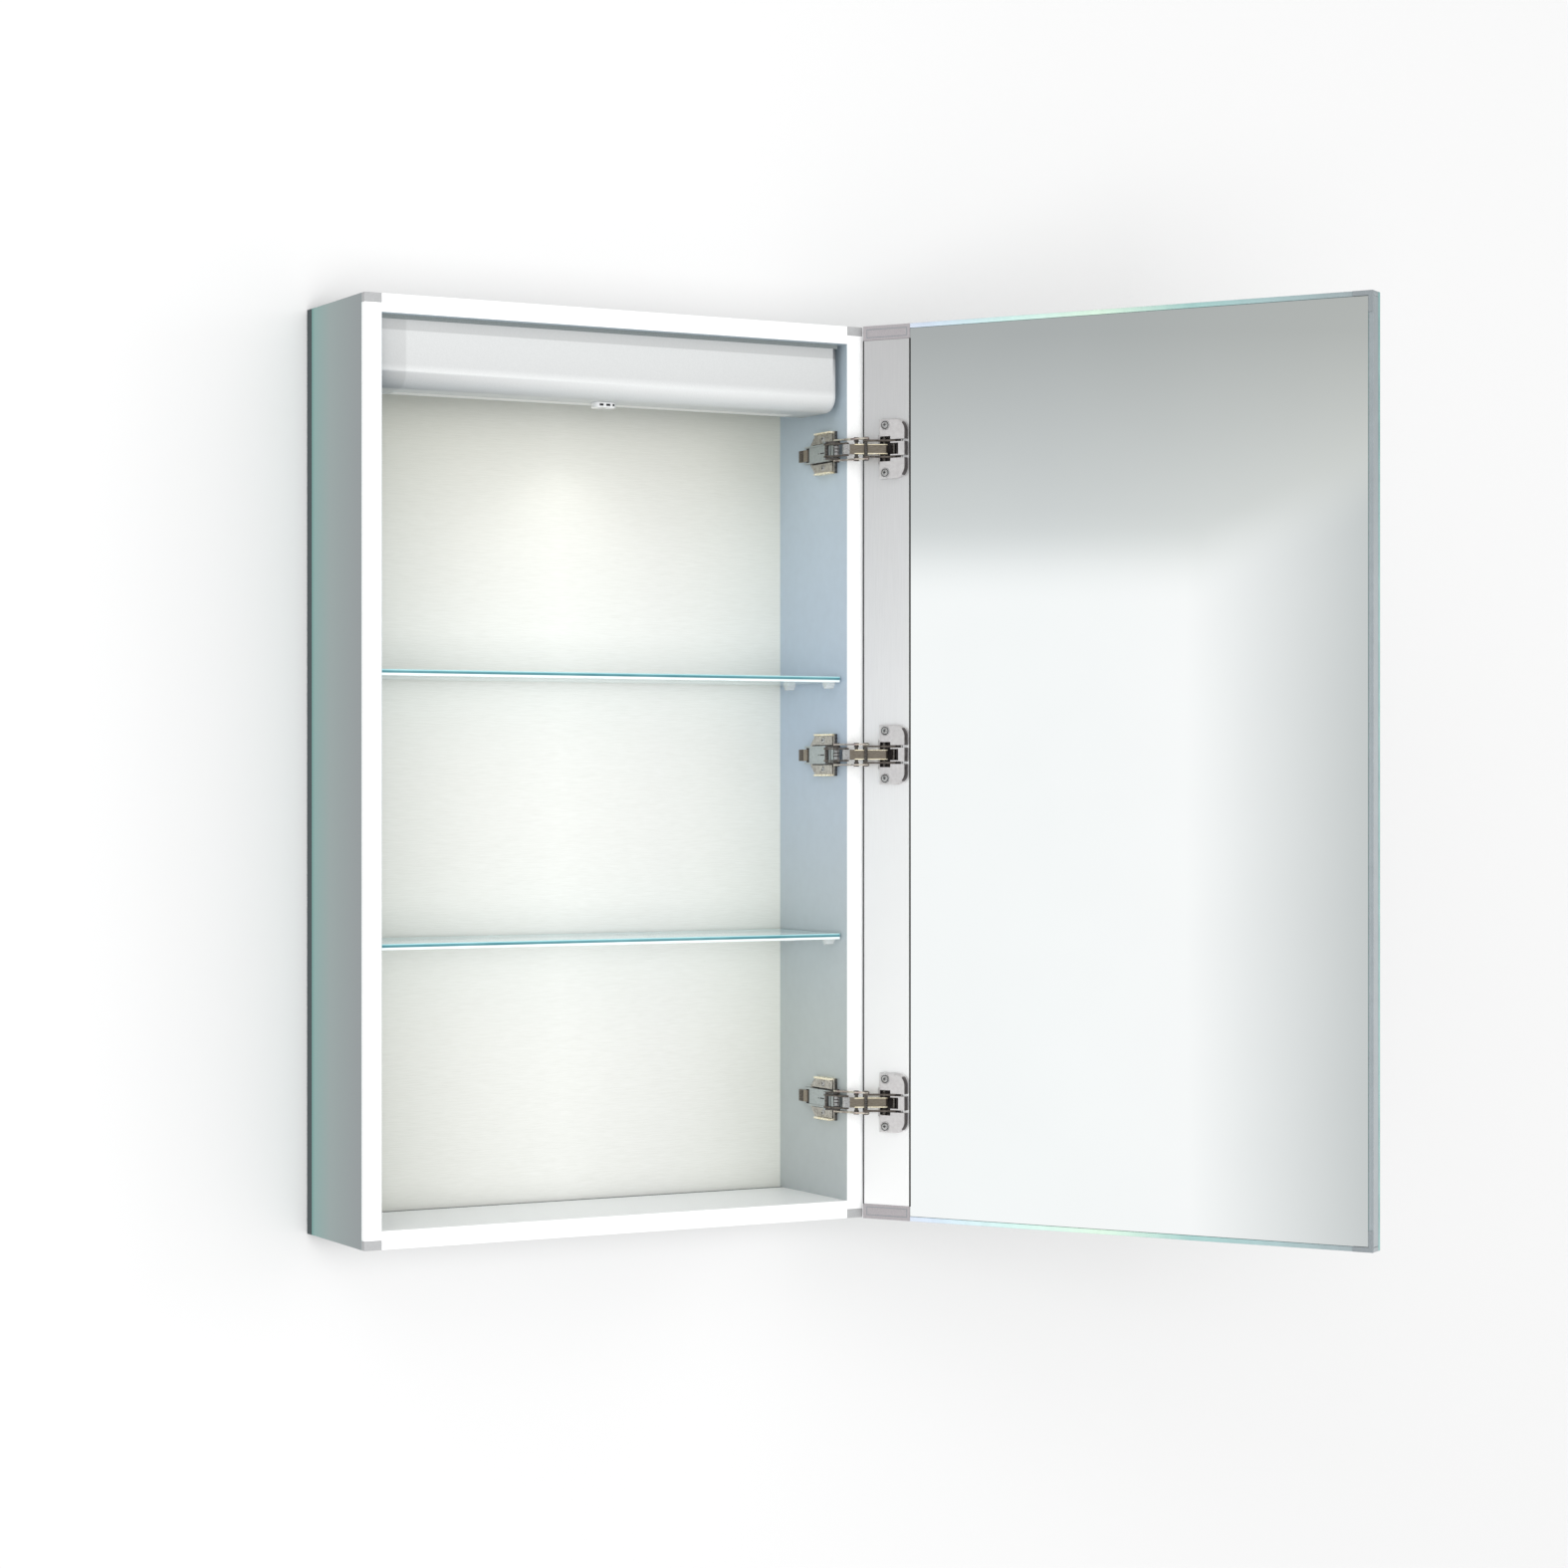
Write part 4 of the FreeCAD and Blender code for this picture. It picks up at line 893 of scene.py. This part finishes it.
# Painted shade: the arm's grooves are dark strips laid on its face.
at_hinges("arm_grooves", grooves, shade_and_gasket_dark)
bridge = prism(bmesh.new(), box_outline(arm_short.x + 0.9, arm_short.y - 2.9,
                                        arm_short.x + 1.8, arm_short.y + 5.6),
               -MOUTH_HALF, MOUTH_HALF)
soften(bridge, 0.3)
at_hinges("arm_bridges", bridge, arm_nickel)
knuckle = bmesh.new()
for low, high in ((-MOUTH_HALF, -1.5), (-1.1, 1.1), (1.5, MOUTH_HALF)):
    prism(knuckle, disc(arm_main, KNUCKLE), low, high)
soften(knuckle, 0.4)
at_hinges("arm_knuckles", knuckle, screw_zinc)

# %% Ribs on the release tabs
RIB_RADIUS, RIB_HALF, RIB_SHARES = 0.45, 4.9, (0.45, 0.58, 0.71, 0.84)
for name in HINGE_NAMES:
    tab_low, tab_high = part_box("release_lever_" + name)
    rib = prism(bmesh.new(), disc((0, 0), RIB_RADIUS, 10), -RIB_HALF, RIB_HALF)
    reach = tab_high.y - tab_low.y
    height = middle("release_lever_" + name).z
    places = [(tab_low.x + 0.1 * MM, tab_low.y + reach * share, height)
              for share in RIB_SHARES]
    # The ribs take dark steel as painted shade, so they show on the tab.
    copied("tab_ribs_" + name, rib, places, pin_steel_and_painted_shade, "release_lever_" + name)

# %% Trims on the bars and links
cross, side_tip = pin("central_bar_turn"), pin("cup_short_link_turn")
bar_low, bar_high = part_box("central_bars")
BAR_ROUND, RIM_ROUND, RIM_INSIDE, RIM_OUTSIDE = 2.5, 2.75, 3.35, 4.3
COLLAR_ROUND, COLLAR_HALF, COLLAR_SHARE = 2.9, 4.35, 0.25
bar_tail = arm_short + (cross - arm_main)
cup_main = Vector((bar_high.x / MM - BAR_ROUND, bar_low.y / MM + BAR_ROUND))
rim = mirrored_prisms(capsule(cross, cup_main, RIM_ROUND), RIM_INSIDE, RIM_OUTSIDE,
                      width=0.3)
# The rims' bright yellow is a painted highlight on the bar's edges.
at_hinges("bar_rims", rim, gold_tone_and_highlight, "central_bars")
collar_end = bar_tail + (cross - bar_tail) * COLLAR_SHARE
collar = prism(bmesh.new(), capsule(bar_tail, collar_end, COLLAR_ROUND), -COLLAR_HALF,
               COLLAR_HALF)
soften(collar, 0.4)
at_hinges("bar_collars", collar, screw_zinc, "central_bars")

LINK_HEADS = ((2.3, 9.35, 10.1), (2.1, 6.3, 7.9))
heads = bmesh.new()
for sign in (1, -1):
    for place in (arm_main, cross, side_tip):
        for radius, near, far in LINK_HEADS:
            prism(heads, disc(place, radius), *sorted((sign * near, sign * far)))
soften(heads, 0.3)
at_hinges("link_heads", heads, pin_steel_and_painted_shade, "side_links")

# %% [markdown]
# ## Screws
# The screws of the cups and of the plates have a domed head with a cross recess, in a
# raised ring. The head is a turned profile, because a profile gives the dome, the groove
# and the ring in one go. The recess and the groove get painted shade: a small dark cross
# laid just proud of the dome and a dark ring in the groove, and the CAD's own screws say
# where the seats are.

# %% Screw parts
CROSS_REACH, CROSS_HALF = 1.35, 0.36
HEAD = [(0, 1.5), (1.2, 1.45), (2.2, 1.2), (2.8, 0.7), (2.9, 0.1), (3.35, 0.1),
        (3.45, 0.45), (4.0, 0.5), (4.3, 0.2), (4.35, -0.6), (0, -0.6)]
DOOR_TURN = OPENED.to_3x3().to_4x4() @ Matrix.Rotation(math.radians(-90), 4, "X")
WALL_TURN = Matrix.Rotation(math.radians(-90), 4, "Y")


def recess():
    """The cross, and the dark ring in the groove round the head: painted shade."""
    bm = bmesh.new()
    for wide, tall in ((CROSS_REACH, CROSS_HALF), (CROSS_HALF, CROSS_REACH)):
        prism(bm, box_outline(-wide, -tall, wide, tall), 1.2, 1.56)
    outer, inner = disc((0, 0), 3.4), disc((0, 0), 2.85)
    rings = [[bm.verts.new((x, y, level)) for x, y in ring]
             for ring, level in ((inner, 0.22), (outer, 0.22), (outer, 0.0), (inner, 0.0))]
    for one, two in zip(rings, rings[1:] + rings[:1]):
        join_rings(bm, one, two)
    return bm


def screw_places(node, away, height):
    """The head's seat of every screw in a node, found from its loose solids."""
    bm = copy_of(node)
    places, seen = [], set()
    for start in bm.verts:
        if start in seen:
            continue
        shell, stack = [], [start]
        seen.add(start)
        while stack:
            vert = stack.pop()
            shell.append(vert.co.copy())
            for edge in vert.link_edges:
                other = edge.other_vert(vert)
                if other not in seen:
                    seen.add(other)
                    stack.append(other)
        middle_point = sum(shell, Vector()) / len(shell)
        top = max(point.dot(away) for point in shell) - height * MM
        places.append(middle_point + away * (top - middle_point.dot(away)))
    bm.free()
    return places

# %% Screws in their seats
HEAD_RISE = 1.6
for node, name, away, turn, body in (
        ("cup_screws", "cup_plate_screws", -door_out, DOOR_TURN, "door"),
        ("plate_screws", "wing_screws", Vector((-1, 0, 0)), WALL_TURN, "cabinet")):
    places = screw_places(node, away, HEAD_RISE)
    copied(name, turned(bmesh.new(), HEAD), places, screw_zinc, body,
           [node], turn)
    # The dark crosses and rings are painted shade in the recesses.
    copied(name + "_recess", recess(), places, shade_and_gasket_dark, body, (), turn)
refine("housing_screws", "bracket_screws", screw_zinc, 0.25)

# %% [markdown]
# ## Gaskets and sensor lenses
# A dark gasket line runs down both sides of the hinge rail, each end cap of the rail has
# a fine frame, and the sensor's front shows three dark lenses in its chrome. A painted
# line would blur close up, so these are thin strips that stand a tenth of a millimetre
# proud of the face they belong to.

# %% Gaskets of the hinge rail
RAIL_WIDTH, STRIP_UNDER, STRIP_PROUD = 45.0, 0.5, 0.12
rail_edge = DOOR_EDGE - RAIL_WIDTH
rail_half = abs(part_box("hinge_rail")[0].z) / MM
gaskets = bmesh.new()
for left, right in ((rail_edge - 0.9, rail_edge + 0.6), (DOOR_EDGE - 1.2, DOOR_EDGE - 0.05)):
    prism(gaskets, box_outline(left, -rail_half, right, rail_half),
          DOOR_FACE - STRIP_UNDER, DOOR_FACE + STRIP_PROUD, "XZ")
copied("rail_gaskets", gaskets, [(0, 0, 0)], shade_and_gasket_dark, "door",
       turn=OPENED)

# %% Frames on the rail's end caps
LINE_WIDTH = 0.6
frames = bmesh.new()
inside, outside = rail_half + 2.2, rail_half + 9.6
left, right = rail_edge + 2.6, DOOR_EDGE - 3.6
for sign in (1, -1):
    for outline in (box_outline(left, inside, left + LINE_WIDTH, outside),
                    box_outline(right - LINE_WIDTH, inside, right, outside),
                    box_outline(left + LINE_WIDTH, inside, right - LINE_WIDTH,
                                inside + LINE_WIDTH),
                    box_outline(left + LINE_WIDTH, outside - LINE_WIDTH,
                                right - LINE_WIDTH, outside)):
        prism(frames, [(x, sign * z) for x, z in outline], DOOR_FACE - STRIP_UNDER,
              DOOR_FACE + STRIP_PROUD, "XZ")
copied("rail_cap_frames", frames, [(0, 0, 0)], clip_plastic, "door",
       turn=OPENED)

# %% Lenses of the sensor
LENS_SPANS, LENS_HALF = ((-6.6, -3.2), (-0.6, 3.0), (5.2, 7.0)), 0.9
bezel_low, bezel_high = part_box("sensor_bezel")
lenses = bmesh.new()
lens_z = (bezel_low.z + bezel_high.z) / MM / 2
for left, right in LENS_SPANS:
    prism(lenses, box_outline(left, lens_z - LENS_HALF, right, lens_z + LENS_HALF),
          bezel_low.y / MM - 0.1, bezel_low.y / MM + 0.3, "XZ")
copied("sensor_front_lenses", lenses, [(0, 0, 0)], sensor_lens, "cabinet")

# %% [markdown]
# ## Wall and floor
# The cabinet hangs on a pale wall over a pale floor. Both are single planes that don't
# show in reflections, and they are clear from behind, so every side can be looked at.

# %% Wall and floor
def stage_material(name, tone):
    """A matt surface that is clear from behind, so it never hides the cabinet."""
    material, tree, shader = start_material(name)
    set_inputs(shader, Base_Color=(*tone, 1.0), Roughness=0.9, Specular_IOR_Level=0.0)
    clear = add(tree, "ShaderNodeBsdfTransparent")
    side = add(tree, "ShaderNodeNewGeometry").outputs["Backfacing"]
    mix = add(tree, "ShaderNodeMixShader", (0, side), (1, shader.outputs[0]),
              (2, clear.outputs[0]))
    tree.links.new(mix.outputs[0], tree.nodes["Material Output"].inputs["Surface"])
    return material


def stage_plane(name, corners, material):
    mesh = bpy.data.meshes.new(name)
    mesh.from_pydata(corners, [], [(0, 1, 2, 3)])
    mesh.materials.append(material)
    plane = linked(name, mesh)
    plane.visible_diffuse = False
    plane.visible_glossy = False
    plane.visible_shadow = False


WALL_Y, FLOOR_Z, REACH = 0.002, -0.85, 4.0
pale = stage_material("pale_stage", (0.735, 0.735, 0.735))
stage_plane("wall", [(-REACH, WALL_Y, FLOOR_Z), (REACH, WALL_Y, FLOOR_Z),
                     (REACH, WALL_Y, REACH), (-REACH, WALL_Y, REACH)], pale)
stage_plane("floor", [(-REACH, -REACH, FLOOR_Z), (REACH, -REACH, FLOOR_Z),
                      (REACH, WALL_Y, FLOOR_Z), (-REACH, WALL_Y, FLOOR_Z)], pale)

# %% [markdown]
# ## Sky
# The sky gives even white light. Rays off a shiny surface see a plain room in it instead:
# a grey ceiling, white walls, a soft line between them that bends at a corner, and dim
# grey behind. A modelled room would do the same, but the mirrors only need its tones.

# %% Sky
CORNER, CORNER_SLOPE = -0.165, 0.5
CEILING_LINE, LINE_SOFTNESS = 0.062, 0.012
BEHIND = (0.44, 0.46, 0.46, 1.0)
PLAIN_WHITE = (1.0, 1.0, 1.0, 1.0)


def make_sky():
    """White from everywhere, but with a room's soft tones where mirrors look at it."""
    world = bpy.data.worlds.new("studio_sky")
    bpy.context.scene.world = world
    world.use_nodes = True
    tree = world.node_tree
    tree.nodes.clear()
    place = add(tree, "ShaderNodeTexCoord")
    parts = add(tree, "ShaderNodeSeparateXYZ", (0, place.outputs["Generated"]))

    def math_node(operation, *values):
        made = add(tree, "ShaderNodeMath", operation=operation)
        for socket, value in zip(made.inputs, values):
            feed(tree, socket, value)
        return made.outputs[0]

    turn, up = parts.outputs["Y"], parts.outputs["Z"]
    past_corner = math_node("MAXIMUM", math_node("SUBTRACT", CORNER, turn), 0.0)
    line = math_node("ADD", CEILING_LINE, math_node("MULTIPLY", past_corner, CORNER_SLOPE))
    above = remap(tree, math_node("SUBTRACT", up, line), -LINE_SOFTNESS, LINE_SOFTNESS,
                  interpolation_type="SMOOTHSTEP")
    rising = remap(tree, up, 0.05, 0.16)
    sideways = remap(tree, turn, -0.23, -0.12)
    ceiling = ramp(tree, rising, [(0.0, (0.86, 0.87, 0.87)), (0.25, (0.66, 0.67, 0.67)),
                                  (0.7, (0.44, 0.45, 0.45)), (1.0, (0.40, 0.41, 0.41))])
    shift = ramp(tree, sideways, [(0.0, (1.22, 1.21, 1.17)), (1.0, (1.07, 1.08, 1.08))])
    walls = ramp(tree, sideways, [
        (0.0, (0.55, 0.57, 0.57)), (0.12, (0.62, 0.64, 0.64)), (0.5, 0.98),
        (0.62, (1.09, 1.08, 1.08)), (1.0, 1.07)])
    room = blend_colours(tree, above, walls, times(tree, ceiling, shift))
    backward = remap(tree, turn, 0.1, 0.6, interpolation_type="SMOOTHSTEP")
    seen = blend_colours(tree, backward, room, BEHIND)
    path = add(tree, "ShaderNodeLightPath")
    colour = blend_colours(tree, path.outputs["Is Glossy Ray"], PLAIN_WHITE, seen)
    shine = add(tree, "ShaderNodeBackground", (0, colour), in_1=1.0)
    add(tree, "ShaderNodeOutputWorld", (0, shine.outputs[0]))
    print("sky of", len(tree.nodes), "nodes")


make_sky()

# %% [markdown]
# ## Lamps
# A broad lamp in front is the strongest, one at the upper left gives a direction, and one
# at the right lights the wall past the door. They are large, for soft edges, and mirrors
# don't show them. A thin lamp and a small spot stand for the cabinet's own lights.

# %% Lamps of the studio
def area_lamp(name, place, target, size, watts, tone=(1, 1, 1), size_y=None):
    """A soft lamp at a place, aimed at a target."""
    lamp = bpy.data.lights.new(name, "AREA")
    lamp.energy = watts
    lamp.color = tone
    lamp.shape = "RECTANGLE" if size_y else "SQUARE"
    lamp.size = size
    if size_y:
        lamp.size_y = size_y
    holder = linked(name, lamp)
    holder.location = place
    aim = Vector(target) - Vector(place)
    holder.rotation_euler = aim.to_track_quat("-Z", "Y").to_euler()
    holder.visible_glossy = False
    print(name, "lamp,", watts, "W")


area_lamp("soft_key", (-2.4, -3.0, 2.4), (0, 0, 0), size=2.0, watts=14.0)
area_lamp("side_fill", (2.6, -2.2, 0.6), (1.1, 0, -0.1), size=1.2, watts=7.0)
area_lamp("front_fill", (-0.9, -3.3, -0.2), (0, 0, 0), size=1.6, watts=42.0)

# %% Lamps of the cabinet
strip_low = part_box("light_diffuser")[0]
strip_middle = middle("light_diffuser")
area_lamp("cabinet_strip", (strip_middle.x, strip_middle.y, strip_low.z - 2 * MM),
          (strip_middle.x, strip_middle.y + 20 * MM, -0.3), size=0.36, watts=0.08,
          tone=(1.0, 0.98, 0.92), size_y=0.012)
sensor = middle("sensor_bezel")
spot = bpy.data.lights.new("sensor_glow", "SPOT")
spot.energy = 0.10
spot.color = (1.0, 0.99, 0.95)
spot.spot_size = math.radians(95)
spot.spot_blend = 1.0
spot.shadow_soft_size = 0.01
spot_holder = linked("sensor_glow", spot)
spot_holder.location = (sensor.x, sensor.y, sensor.z - 12 * MM)
spot_holder.rotation_euler = Vector((0, 0.5, -1)).to_track_quat("-Z", "Y").to_euler()

# %% [markdown]
# ## Camera
# The camera stands level, left of the cabinet and at its middle height, so the right wall
# and the open door's inside both show. A long lens from three metres keeps edges upright.

# %% Camera
camera_data = bpy.data.cameras.new("camera")
camera_data.lens = 80.5
camera_data.sensor_width = 36.0
camera = linked("camera", camera_data)
camera.location = (-1.2765, -2.725, -0.010)
camera.rotation_euler = (math.radians(90), 0, math.radians(-28.78))
bpy.context.scene.camera = camera
bpy.context.scene.view_settings.view_transform = "Standard"
print("camera at", tuple(round(value, 3) for value in camera.location))
